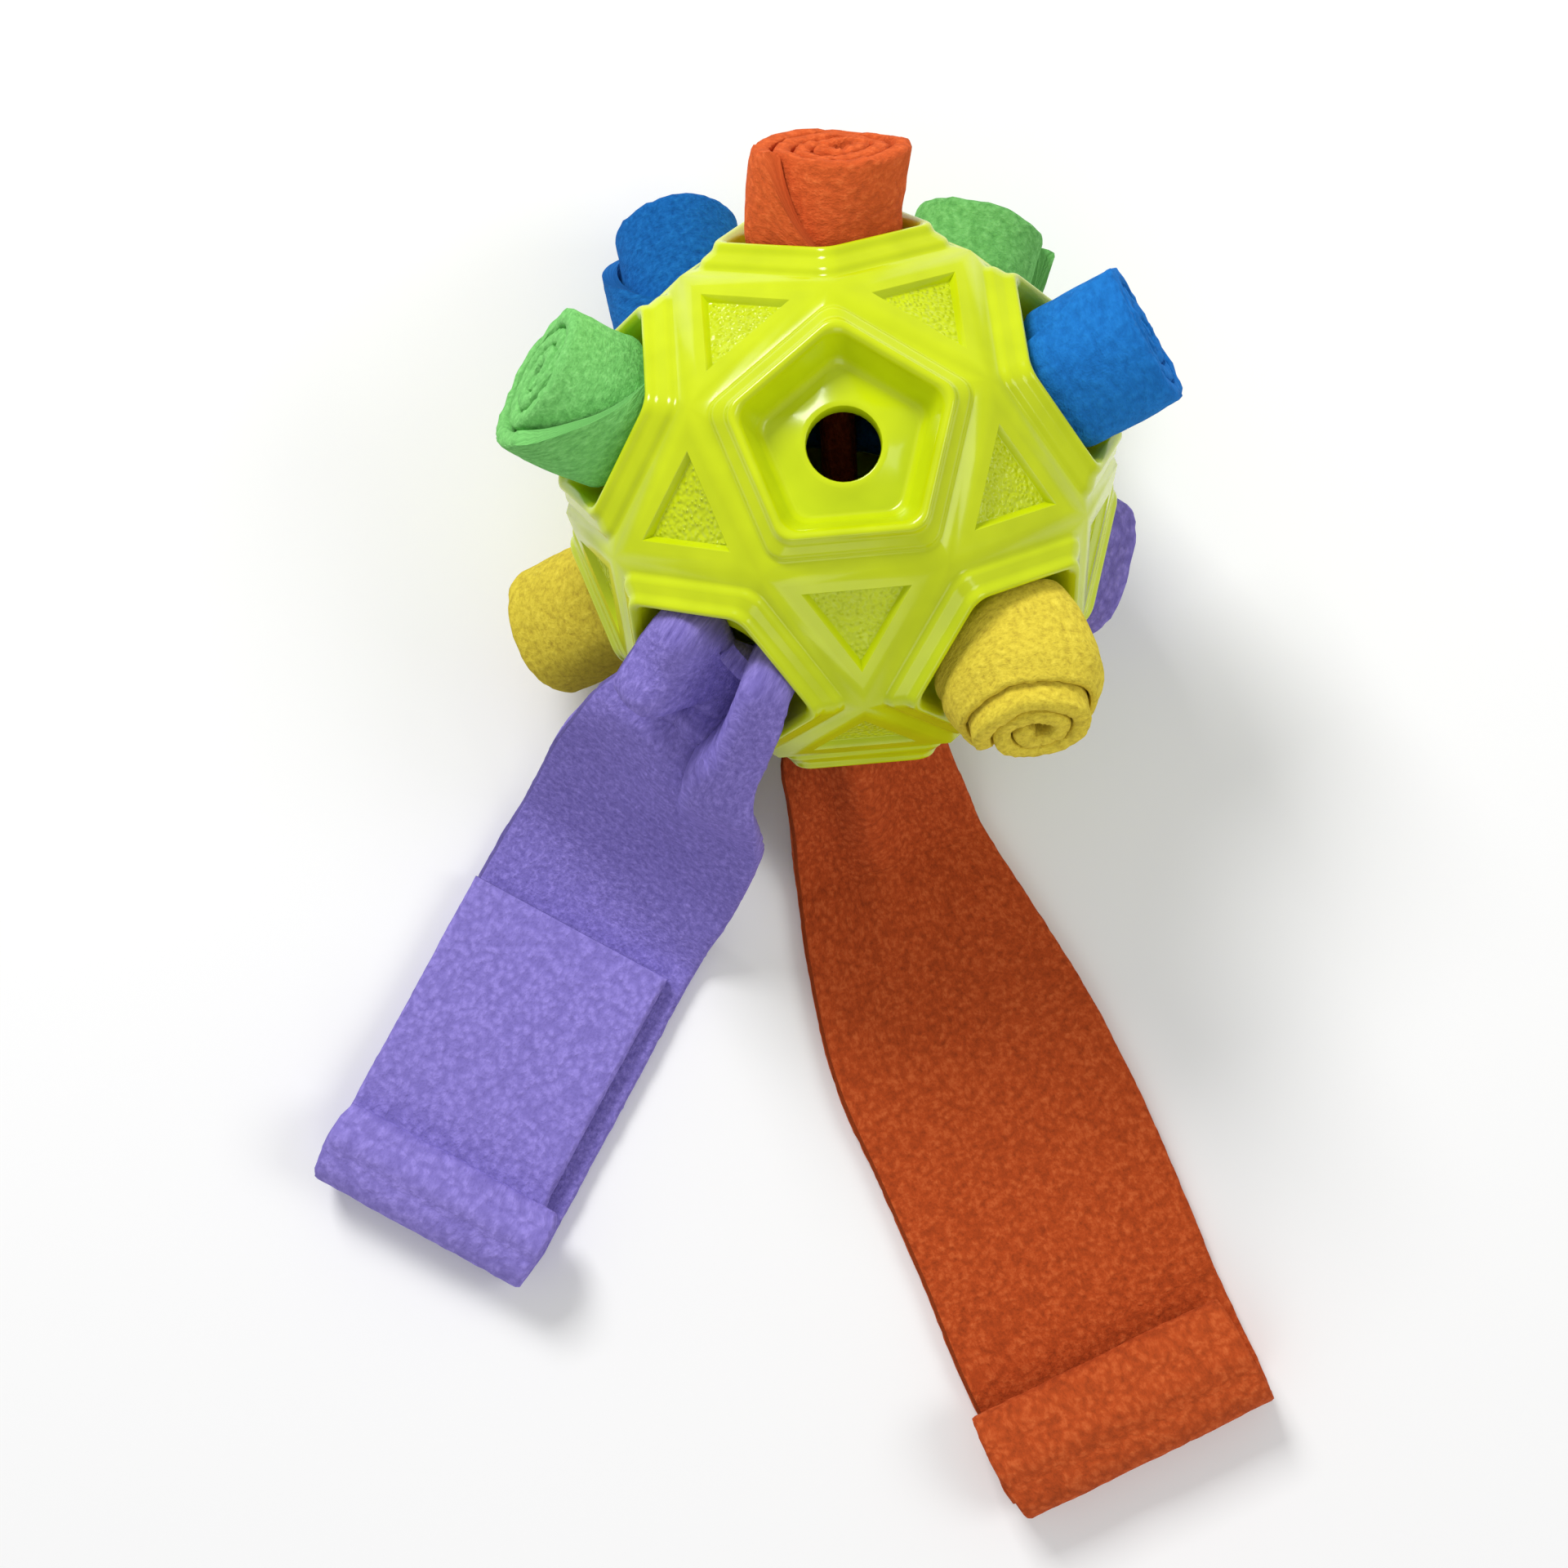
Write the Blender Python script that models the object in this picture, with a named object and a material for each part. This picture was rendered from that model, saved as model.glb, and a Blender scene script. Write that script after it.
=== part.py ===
"""Foraging play ball: a hollow rubber ball of two bonded halves with twelve five-sided pockets.

Five fleece strips run through the holes in the pocket floors. Eight strip ends are rolled up
and tucked into their pockets, and two hang out and lie on the ground with their ends folded.
Lengths are in metres, +Z is up, and the ball stands on the rim of its lowest pocket.
"""

import math

import bmesh
import bpy
from mathutils import Matrix, Vector

# Rubber ball: its ribs follow the edges of an icosidodecahedron
vertex_radius = 0.0494
rim_height = 0.04685
mouth_inradius = 0.0144
rim_width = 0.0007
step_draft = 0.00025
rib_half_width_at_pocket = 0.00226
rib_rise = 0.0007
rib_half_width_at_recess = 0.00385
rib_crown = 0.00025
recess_depth = 0.0013
recess_slope = 0.0005
corner_round = 0.0034
lip_round = 0.0008
wall = 0.0030
rib_wall = 0.0045
bond_gap = 0.0003

# Pocket floor and the hole that a strip runs through
pocket_depth = 0.0078
wall_draft = 0.0019
floor_round = 0.0012
hole_radius = 0.0062
hole_lip = 0.0006
dome_width = 0.0026
dome_rise = 0.0016
dome_lift_share = 0.55

# Fleece strips
strip_thickness = 0.0030
turn_gap = 0.0006
seat_gap = 0.0003
neck_clearance = 0.00035
pocket_clearance = 0.0007
neck_inner_reach = 0.0285
bundle_radius = 0.0035
plug_thickness = 0.0014
core_radius = 0.0012
overrun = 0.0004

# Rolled ends: how far each one stands out of its pocket's rim, and the bend where it leaves the pocket
orange_roll_stand = 0.0140
green_upper_stand = 0.0135
yellow_upper_stand = 0.0175
blue_upper_stand = 0.0150
blue_lower_stand = 0.0260
green_lower_stand = 0.0195
yellow_lower_stand = 0.0200
purple_roll_stand = 0.0090
bend_depth = 0.0010
bend_length = 0.0080

# Purple strip, measured outwards from the ball's centre along its heading
purple_heading = 236.8
purple_width = 0.0445
purple_fold_width = 0.0405
purple_offset = 0.0068
purple_landing = 0.0880
purple_reach = 0.1580
purple_fold_setback = 0.0050
purple_turnover = 0.0165

# Orange strip, which bends sideways on its way out
orange_width = 0.0516
orange_landing = 0.0660
orange_landing_sway = 0.0045
orange_reach = 0.1823
orange_sway = 0.0438
orange_end_heading = 291.0
orange_turnover = 0.0250

# Depth of the lengthwise folds where a strip is gathered
fold_depth = 0.0017

# Steps of a pocket's rim, as shares of the way in and up from the rib's edge to the rim
step_shares = [(0.14, 0.30), (0.74, 0.62), (0.87, 0.89)]

# Shapes given as shares of the sizes above: along, fall, width and fold
purple_slope_shares = [(0.09, 0.15, 0.88, 0.9), (0.30, 0.44, 1.0, 0.6), (0.62, 0.82, 1.0, 0.3)]
purple_mouth_share = 0.42
purple_rim_share = 0.66
purple_rise_share = 0.75
purple_crease_share = 0.17
orange_slope_shares = [(0.30, 0.36, 0.60, 0.9), (0.62, 0.76, 0.66, 0.6)]
orange_run_shares = [(0.0, 0.0, 0.72, 0.3), (0.15, 0.12, 0.84, 0.1), (0.36, 0.32, 0.97, 0.0),
                     (0.58, 0.58, 1.0, 0.0), (0.79, 0.80, 1.0, 0.0)]
orange_mouth_share = 0.38
orange_rim_share = 0.53
orange_fold_share = 1.0
orange_end_share = 0.96
orange_crease_share = 0.5
roll_girth_shares = (0.90, 0.98, 1.0, 0.97)

# Routes inside the ball: pull towards the centre, spread of the bend and rise
middle_route_shares = {"orange": (0.7, 0.0, 0.85), "purple": (0.7, 1.0, 0.0), "green": (0.7, 1.0, 0.0),
                       "yellow": (0.4, 0.5, 0.0), "blue": (0.4, 0.5, 0.0)}
straight_start_share = 0.95
merge_share = 0.01
level_share = 0.05

# Counts
corner_points = 3
circle_points = 5 * corner_points
steps_per_turn = 12
ribbon_columns = 8
neck_sides = 12
middle_steps = 12
path_steps = 3
turn_steps = 6
smoothing_angle = math.radians(35)

RING_TILT = math.atan(0.5)
NEIGHBOUR_DOT = 1 / math.sqrt(5)
GOLDEN = (1 + math.sqrt(5)) / 2
HALF_SIDE_ANGLE = math.pi / 5

# Sizes that follow from those above
edge_length = vertex_radius / GOLDEN
pentagon_circumradius = edge_length / (2 * math.sin(HALF_SIDE_ANGLE))
pentagon_inradius = pentagon_circumradius * math.cos(HALF_SIDE_ANGLE)
pentagon_plane = math.sqrt(vertex_radius**2 - pentagon_circumradius**2)
triangle_circumradius = edge_length / math.sqrt(3)
triangle_inradius = triangle_circumradius / 2
triangle_plane = math.sqrt(vertex_radius**2 - triangle_circumradius**2)
inner_scale = (vertex_radius - rib_wall) / vertex_radius
floor_height = rim_height - pocket_depth
dome_top = floor_height + dome_rise
floor_inradius = mouth_inradius - wall_draft
neck_radius = hole_radius - neck_clearance
roll_seat = dome_top + seat_gap
layer_pitch = strip_thickness + turn_gap
roll_reach = mouth_inradius - pocket_clearance
roll_radius = roll_reach + layer_pitch / 4
roll_base = roll_seat + seat_gap + plug_thickness - overrun
bend_foot = rim_height - bend_depth
ground = -rim_height
lying_height = ground + seat_gap + strip_thickness / 2
purple_fold_edge = purple_landing + purple_fold_setback

COLOURS = {
    "rubber": (0.80, 0.88, 0.10),
    "orange": (0.75, 0.34, 0.15),
    "purple": (0.52, 0.48, 0.76),
    "green": (0.45, 0.74, 0.38),
    "yellow": (0.87, 0.79, 0.25),
    "blue": (0.12, 0.46, 0.78),
}


def clear_scene():
    for thing in list(bpy.data.objects):
        bpy.data.objects.remove(thing, do_unlink=True)


def linear(channel):
    return channel / 12.92 if channel <= 0.04045 else ((channel + 0.055) / 1.055) ** 2.4


def material(name, colour, roughness):
    made = bpy.data.materials.new(name)
    made.use_nodes = True
    shader = made.node_tree.nodes["Principled BSDF"]
    shader.inputs["Base Color"].default_value = [*(linear(c) for c in colour), 1.0]
    shader.inputs["Roughness"].default_value = roughness
    shader.inputs["Metallic"].default_value = 0.0
    made.diffuse_color = [*colour, 1.0]
    return made


def rubber():
    return material("moulded_rubber", COLOURS["rubber"], 0.28)


def fleece(colour):
    return material(f"{colour}_fleece", COLOURS[colour], 0.95)


def add_object(name, mesh, finish, parent=None):
    data = bpy.data.meshes.new(name)
    mesh.to_mesh(data)
    mesh.free()
    made = bpy.data.objects.new(name, data)
    bpy.context.scene.collection.objects.link(made)
    made.data.materials.append(finish)
    made.data.shade_smooth()
    made.data.set_sharp_from_angle(angle=smoothing_angle)
    made.parent = parent
    return made


def add_empty(name, place, parent):
    made = bpy.data.objects.new(name, None)
    bpy.context.scene.collection.objects.link(made)
    made.parent = parent
    made.location = place
    made.empty_display_size = neck_radius
    return made


# Directions and rings

def direction(azimuth, elevation):
    around = math.radians(azimuth)
    return Vector((math.cos(elevation) * math.cos(around), math.cos(elevation) * math.sin(around),
                   math.sin(elevation)))


def pocket_axes():
    axes = {("top", 0): Vector((0, 0, 1)), ("bottom", 0): Vector((0, 0, -1))}
    for step in range(5):
        axes["upper", (90 + 72 * step) % 360] = direction(90 + 72 * step, RING_TILT)
        axes["lower", (126 + 72 * step) % 360] = direction(126 + 72 * step, -RING_TILT)
    return axes


AXES = pocket_axes()


def neighbours(axis):
    return [other for other in AXES.values() if abs(axis.dot(other) - NEIGHBOUR_DOT) < 1e-3]


def around_axis(axis, directions):
    """Unit vectors across the axis towards each direction, in order anticlockwise from outside."""
    across = [(d - axis * d.dot(axis)).normalized() for d in directions]
    start = across[0]
    side = axis.cross(start)
    return sorted(across, key=lambda d: math.atan2(d.dot(side), d.dot(start)))


def rounded_ring(axis, corners, inradius, height, radius):
    """A five-sided ring with rounded corners, at a height along the pocket's axis."""
    points = []
    for corner in corners:
        side = axis.cross(corner)
        centre = axis * height + corner * ((inradius - radius) / math.cos(HALF_SIDE_ANGLE))
        for step in range(corner_points):
            turn = HALF_SIDE_ANGLE * (2 * step / (corner_points - 1) - 1)
            points.append(centre + corner * (radius * math.cos(turn)) + side * (radius * math.sin(turn)))
    return points


def round_ring(axis, start, radius, height, count=circle_points, first=-1):
    side = axis.cross(start)
    turns = [2 * math.pi * (first + step) / count for step in range(count)]
    return [axis * height + start * (radius * math.cos(t)) + side * (radius * math.sin(t)) for t in turns]


def add_ring(mesh, points):
    return [mesh.verts.new(p) for p in points]


def bridge(mesh, outer, inner):
    count = len(outer)
    for i in range(count):
        j = (i + 1) % count
        mesh.faces.new((outer[i], outer[j], inner[j], inner[i]))


def bridge_corners(mesh, sharp, rounded, inward):
    """Joins a ring of five sharp corners to a rounded one, with a fan at each corner."""
    faces = []
    for k, tip in enumerate(sharp):
        arc = rounded[k * corner_points:(k + 1) * corner_points]
        for a, b in zip(arc, arc[1:]):
            faces.append((tip, b, a))
        after = sharp[(k + 1) % len(sharp)]
        first_of_next = rounded[((k + 1) * corner_points) % len(rounded)]
        faces.append((tip, after, first_of_next, arc[-1]))
    for face in faces:
        mesh.faces.new(face if inward else tuple(reversed(face)))


# Rubber ball

def pocket_profile():
    """Inradius, height and corner radius of each ring, from the rib's edge to the pocket's floor."""
    rib_edge = pentagon_inradius - rib_half_width_at_pocket
    rib_top = pentagon_plane + rib_rise
    rim_outer = mouth_inradius + lip_round + rim_width
    steps = [(rib_edge + (rim_outer - rib_edge) * inward, rib_top + (rim_height - rib_top) * up, corner_round)
             for inward, up in step_shares]
    return [
        (rib_edge, rib_top, corner_round),
        *steps,
        (rim_outer, rim_height, corner_round),
        (mouth_inradius + lip_round, rim_height, corner_round),
        (mouth_inradius, rim_height - lip_round, corner_round),
        (floor_inradius, floor_height + floor_round, corner_round),
        (floor_inradius - floor_round, floor_height, corner_round),
    ]


def dome_profile():
    """Radius and height of each round ring, from the middle of the domed floor to the hole's inner end."""
    return [
        (hole_radius + dome_width, floor_height + dome_rise * dome_lift_share),
        (hole_radius + hole_lip, dome_top),
        (hole_radius, dome_top - hole_lip),
        (hole_radius, floor_height - wall),
    ]


def add_pocket(mesh, axis):
    corners = around_axis(axis, [(axis + other).normalized() for other in neighbours(axis)])
    tips = add_ring(mesh, [axis * pentagon_plane + c * pentagon_circumradius for c in corners])
    rings = [add_ring(mesh, rounded_ring(axis, corners, *row)) for row in pocket_profile()]
    rings += [add_ring(mesh, round_ring(axis, corners[0], *row)) for row in dome_profile()]
    cup_inradius = floor_inradius + wall
    rings.append(add_ring(mesh, rounded_ring(axis, corners, cup_inradius, floor_height - wall, corner_round)))
    inner_plane = pentagon_plane * inner_scale
    cup_foot = min(cup_inradius + wall_draft / 2, pentagon_inradius * inner_scale - step_draft)
    rings.append(add_ring(mesh, rounded_ring(axis, corners, cup_foot, inner_plane, corner_round)))
    bridge_corners(mesh, tips, rings[0], inward=True)
    for outer, inner in zip(rings, rings[1:]):
        bridge(mesh, outer, inner)
    inner_tips = add_ring(mesh, [axis * inner_plane + c * pentagon_circumradius * inner_scale for c in corners])
    bridge_corners(mesh, inner_tips, rings[-1], inward=False)


def add_recess(mesh, axis, tips):
    corners = around_axis(axis, tips)
    outer = add_ring(mesh, [axis * triangle_plane + c * triangle_circumradius for c in corners])
    edge = 2 * (triangle_inradius - rib_half_width_at_recess)
    top = triangle_plane + rib_crown
    rim = add_ring(mesh, [axis * top + c * edge for c in corners])
    floor = add_ring(mesh, [axis * (top - recess_depth) + c * (edge - 2 * recess_slope) for c in corners])
    bridge(mesh, outer, rim)
    bridge(mesh, rim, floor)
    mesh.faces.new(floor)
    inner = add_ring(mesh, [(axis * triangle_plane + c * triangle_circumradius) * inner_scale for c in corners])
    mesh.faces.new(tuple(reversed(inner)))


def half_shell(name, side, ball):
    """One moulded half, cut where ten ribs run round the ball in one flat plane."""
    mesh = bmesh.new()
    axes = list(AXES.values())
    for axis in axes:
        if axis.z * side > 0:
            add_pocket(mesh, axis)
    for i, a in enumerate(axes):
        for j, b in enumerate(axes[i + 1:], i + 1):
            for c in axes[j + 1:]:
                pairs = ((a, b), (b, c), (c, a))
                middle = (a + b + c).normalized()
                if all(abs(p.dot(q) - NEIGHBOUR_DOT) < 1e-3 for p, q in pairs) and middle.z * side > 0:
                    add_recess(mesh, middle, [(p + q).normalized() for p, q in pairs])
    bmesh.ops.remove_doubles(mesh, verts=mesh.verts, dist=bond_gap / 10)
    bmesh.ops.bridge_loops(mesh, edges=[e for e in mesh.edges if e.is_boundary])
    bmesh.ops.recalc_face_normals(mesh, faces=mesh.faces)
    bmesh.ops.translate(mesh, verts=mesh.verts, vec=(0, 0, side * bond_gap / 2))
    return add_object(name, mesh, rubber(), ball)


# Fleece in the pockets

def share_at(table, where):
    """Reads a table of (place, value) shares at a place between its rows."""
    for (x0, y0), (x1, y1) in zip(table, table[1:]):
        if where <= x1:
            part = (where - x0) / (x1 - x0)
            part = part * part * (3 - 2 * part)
            return y0 + (y1 - y0) * part
    return table[-1][1]


def neck_mesh(outer_end):
    """The gathered strip in its hole, with a plug that spreads on the collar, along +Z."""
    plug = roll_reach * roll_girth_shares[0] - strip_thickness / 2
    rows = [(neck_radius, neck_inner_reach), (neck_radius, dome_top), (neck_radius, roll_seat),
            (plug, roll_seat + seat_gap), (plug, outer_end)]
    mesh = bmesh.new()
    up, start = Vector((0, 0, 1)), Vector((1, 0, 0))
    rings = [add_ring(mesh, round_ring(up, start, r, h, neck_sides, 0)) for r, h in rows]
    mesh.faces.new(tuple(reversed(rings[0])))
    for lower, upper in zip(rings, rings[1:]):
        bridge(mesh, lower, upper)
    mesh.faces.new(rings[-1])
    return mesh


def spiral_rows():
    """Angle, inner and outer radius of the wound strip, from its free end to its outer end."""
    rise = roll_radius - core_radius - strip_thickness
    turns = rise / layer_pitch
    steps = max(3, round(turns * steps_per_turn))
    rows = []
    for step in range(steps + 1):
        inner = core_radius + rise * step / steps
        rows.append((2 * math.pi * turns * step / steps, inner, inner + strip_thickness))
    return rows


def roll_axis(height, lean, way):
    """The place and tilt of a roll's middle line, which bends where it leaves the pocket."""
    up = Vector((0, 0, 1))
    past = max(0.0, height - bend_foot)
    bent = min(past, bend_length)
    tilt = lean * bent / bend_length
    turn = Matrix.Rotation(tilt, 3, up.cross(way))
    bend_radius = bend_length / lean
    foot = up * (height - past + bend_radius * math.sin(tilt)) + way * (bend_radius * (1 - math.cos(tilt)))
    return foot + turn @ up * (past - bent), turn


def roll_mesh(stand, lean, lean_way, hand, seam):
    """A strip wound into a roll along +Z, which bends towards lean_way where it leaves the pocket."""
    mesh = bmesh.new()
    rows = spiral_rows()
    spokes = [Vector((math.cos(hand * a + seam), math.sin(hand * a + seam), 0)) for a, _, _ in rows]
    up = Vector((0, 0, 1))
    centring = (up.cross(spokes[-1]) * hand - spokes[-1]) * (layer_pitch / 4)
    way = Vector((math.cos(lean_way), math.sin(lean_way), 0))
    heights = (roll_base, bend_foot, bend_foot + bend_length, rim_height + stand)
    levels = []
    for height, girth in zip(heights, roll_girth_shares):
        place, turn = roll_axis(height, lean, way)
        inner, outer = [], []
        for spoke, (_, near, far) in zip(spokes, rows):
            inner.append(mesh.verts.new(place + turn @ (spoke * near + centring) * girth))
            outer.append(mesh.verts.new(place + turn @ (spoke * far + centring) * girth))
        levels.append((inner, outer))
    for (inner0, outer0), (inner1, outer1) in zip(levels, levels[1:]):
        for i in range(len(inner0) - 1):
            mesh.faces.new((outer0[i], outer0[i + 1], outer1[i + 1], outer1[i]))
            mesh.faces.new((inner0[i + 1], inner0[i], inner1[i], inner1[i + 1]))
        mesh.faces.new((inner0[0], outer0[0], outer1[0], inner1[0]))
        mesh.faces.new((outer0[-1], inner0[-1], inner1[-1], outer1[-1]))
    for i in range(len(levels[0][0]) - 1):
        inner, outer = levels[0]
        mesh.faces.new((inner[i], inner[i + 1], outer[i + 1], outer[i]))
        inner, outer = levels[-1]
        mesh.faces.new((inner[i + 1], inner[i], outer[i], outer[i + 1]))
    bmesh.ops.recalc_face_normals(mesh, faces=mesh.faces)
    return mesh


def least_turn_gap():
    """The least gap between turns of a roll, measured on the points that it is made from."""
    rows = spiral_rows()
    points = [(Vector((math.cos(a), math.sin(a), 0)), near, far) for a, near, far in rows]
    gaps = []
    for i, (spoke, _, far) in enumerate(points):
        for later, near, _ in points[i + steps_per_turn // 2:]:
            if later.dot(spoke) > math.cos(math.pi / steps_per_turn):
                gaps.append((later * near - spoke * far).length)
    return min(gaps) * min(roll_girth_shares)


def join_with(target, mesh, ball):
    """Joins a second mesh to the target with a Boolean union, from a hidden object."""
    tool = add_object(f"{target.name}_neck_tool", mesh, target.data.materials[0], ball)
    tool.matrix_basis = target.matrix_basis
    tool.hide_render = True
    tool.display_type = "WIRE"
    union = target.modifiers.new("neck", "BOOLEAN")
    union.operation = "UNION"
    union.solver = "EXACT"
    union.object = tool


def rolled_end(name, ring, azimuth, stand, colour, ball, lean, lean_way, hand, seam):
    """A rolled strip end in its pocket. Its origin is the ball's centre, on the pocket's axis."""
    axis = AXES[ring, azimuth]
    across = Vector((0, 0, 1)).cross(axis).normalized()
    turned = Matrix((across, axis.cross(across), axis)).transposed().to_4x4()
    mesh = roll_mesh(stand, math.radians(lean), math.radians(lean_way), hand, math.radians(seam))
    made = add_object(name, mesh, fleece(colour), ball)
    made.matrix_basis = turned
    join_with(made, neck_mesh(roll_seat + seat_gap + plug_thickness), ball)
    return made


def bezier(points, t):
    """The point at share t of a Bezier curve with any number of control points."""
    order = len(points) - 1
    weights = [math.comb(order, i) * t**i * (1 - t)**(order - i) for i in range(order + 1)]
    return sum((p * w for p, w in zip(points, weights)), Vector())


def middle_stretch(colour, start_axis, end_axis, ball):
    """The slack stretch of a strip inside the ball, from one neck to the other."""
    reach = neck_inner_reach - seat_gap
    pull, spread, rise = middle_route_shares[colour]
    a, d = start_axis * reach, end_axis * reach
    if (start_axis + end_axis).length < merge_share:
        b = Vector((0, 0, reach * rise))
        c = -b
    else:
        middle = (start_axis + end_axis).normalized()
        b = (start_axis + middle).normalized() * (reach * spread)
        c = (end_axis + middle).normalized() * (reach * spread)
    controls = [a * straight_start_share, a * pull, b, c, d * pull, d * straight_start_share]
    places = [a, *(bezier(controls, step / middle_steps) for step in range(middle_steps + 1)), d]
    curve = bpy.data.curves.new(f"{colour}_middle", "CURVE")
    curve.dimensions = "3D"
    curve.bevel_depth = bundle_radius
    curve.bevel_resolution = 2
    curve.use_fill_caps = True
    spline = curve.splines.new("POLY")
    spline.points.add(len(places) - 1)
    for point, place in zip(spline.points, places):
        point.co = (*place, 1)
    made = bpy.data.objects.new(f"{colour}_middle", curve)
    bpy.context.scene.collection.objects.link(made)
    made.data.materials.append(fleece(colour))
    made.parent = ball
    return made


# Fleece that hangs out

def smooth_rows(rows, steps):
    """A Catmull-Rom curve through rows of (place, width, fold depth), kept above the ground."""
    ends = [[2 * a - b for a, b in zip(rows[0], rows[1])], *rows, [2 * a - b for a, b in zip(rows[-1], rows[-2])]]
    made = []
    for i in range(1, len(ends) - 2):
        for step in range(steps):
            t = step / steps
            made.append([(p1 * 2 + (p2 - p0) * t + (p0 * 2 - p1 * 5 + p2 * 4 - p3) * t * t
                          + (p1 * 3 - p0 - p2 * 3 + p3) * t**3) / 2
                         for p0, p1, p2, p3 in zip(*ends[i - 1:i + 3])])
    made.append(rows[-1])
    for place, _, depth in made:
        place.z = max(place.z, lying_height + depth)
    return made


def ribbon_ring(centre, across, normal, width, depth, crease):
    """The outline of a strip cut across: over the top from left to right, and back underneath."""
    top, under = [], []
    for column in range(ribbon_columns + 1):
        share = column / ribbon_columns - 0.5
        rise = -depth * math.cos(2 * math.pi * (share - crease))
        place = centre + across * (width * share) + normal * rise
        top.append(place + normal * (strip_thickness / 2))
        under.append(place - normal * (strip_thickness / 2))
    return top + under[::-1]


def neck_outline(centre, across, normal, radius):
    """A round outline with as many points as a strip's."""
    count = 2 * (ribbon_columns + 1)
    turns = [math.pi * (1 - 2 * (column + 0.5) / count) for column in range(count)]
    return [centre + across * (radius * math.cos(t)) + normal * (radius * math.sin(t)) for t in turns]


def strip_rings(rows, across, crease):
    """A ring for each row of (place, width, fold depth), with the direction in which the strip runs."""
    rings = []
    for i, (place, width, depth) in enumerate(rows):
        before, after = rows[max(0, i - 1)][0], rows[min(len(rows) - 1, i + 1)][0]
        ahead = (after - before).normalized()
        side = Vector((0, 0, 1)).cross(ahead)
        side = across if side.length < level_share else side.normalized()
        side = -side if side.dot(across) < 0 else side
        rings.append((ribbon_ring(place, side, ahead.cross(side), width, depth, crease), ahead))
    return rings


def shifted(ring, step):
    points, ahead = ring
    return [p + ahead * step for p in points], ahead


def parted(rings, start, end):
    """The rings from start to end, drawn back by half of the seat gap at both ends."""
    kept = rings[start:end + 1]
    return [shifted(kept[0], seat_gap / 2), *kept[1:-1], shifted(kept[-1], -seat_gap / 2)]


def origin_of(thing):
    place = Vector()
    while thing:
        place += thing.location
        thing = thing.parent
    return place


def loft(name, rings, finish, parent):
    """A strip's solid through its rings, with a face at each end."""
    mesh = bmesh.new()
    made = [add_ring(mesh, points) for points, _ in rings]
    for a, b in zip(made, made[1:]):
        bridge(mesh, a, b)
    count = len(made[0])
    for ring, order in ((made[0], -1), (made[-1], 1)):
        for i in range(count // 2 - 1):
            mesh.faces.new([ring[i], ring[i + 1], ring[count - 2 - i], ring[count - 1 - i]][::order])
    bmesh.ops.translate(mesh, verts=mesh.verts, vec=-origin_of(parent))
    if mesh.calc_volume(signed=True) < 0:
        bmesh.ops.reverse_faces(mesh, faces=mesh.faces)
    return add_object(name, mesh, finish, parent)


def gathered_start(axis, across):
    """The strip in its hole, bunched to the hole's size."""
    normal = axis.cross(across)
    reaches = (neck_inner_reach, floor_height - wall, dome_top)
    return [(neck_outline(axis * r, across, normal, neck_radius), axis) for r in reaches]


def folded_over(start, ahead, turns, width):
    """Rows of a strip folded over on itself by half turns of (radius, rise), each with a run after it."""
    up = Vector((0, 0, 1))
    rows, place, way = [], start.copy(), 1
    for radius, rise, run in turns:
        centre = place + up * (radius * rise)
        for step in range(turn_steps + 1):
            angle = math.pi * step / turn_steps
            point = centre + ahead * (way * radius * math.sin(angle)) - up * (rise * radius * math.cos(angle))
            rows.append([point, width, 0.0])
        way = -way
        place = rows[-1][0] + ahead * (way * run)
    return [*rows, [place, width, 0.0]]


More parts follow.
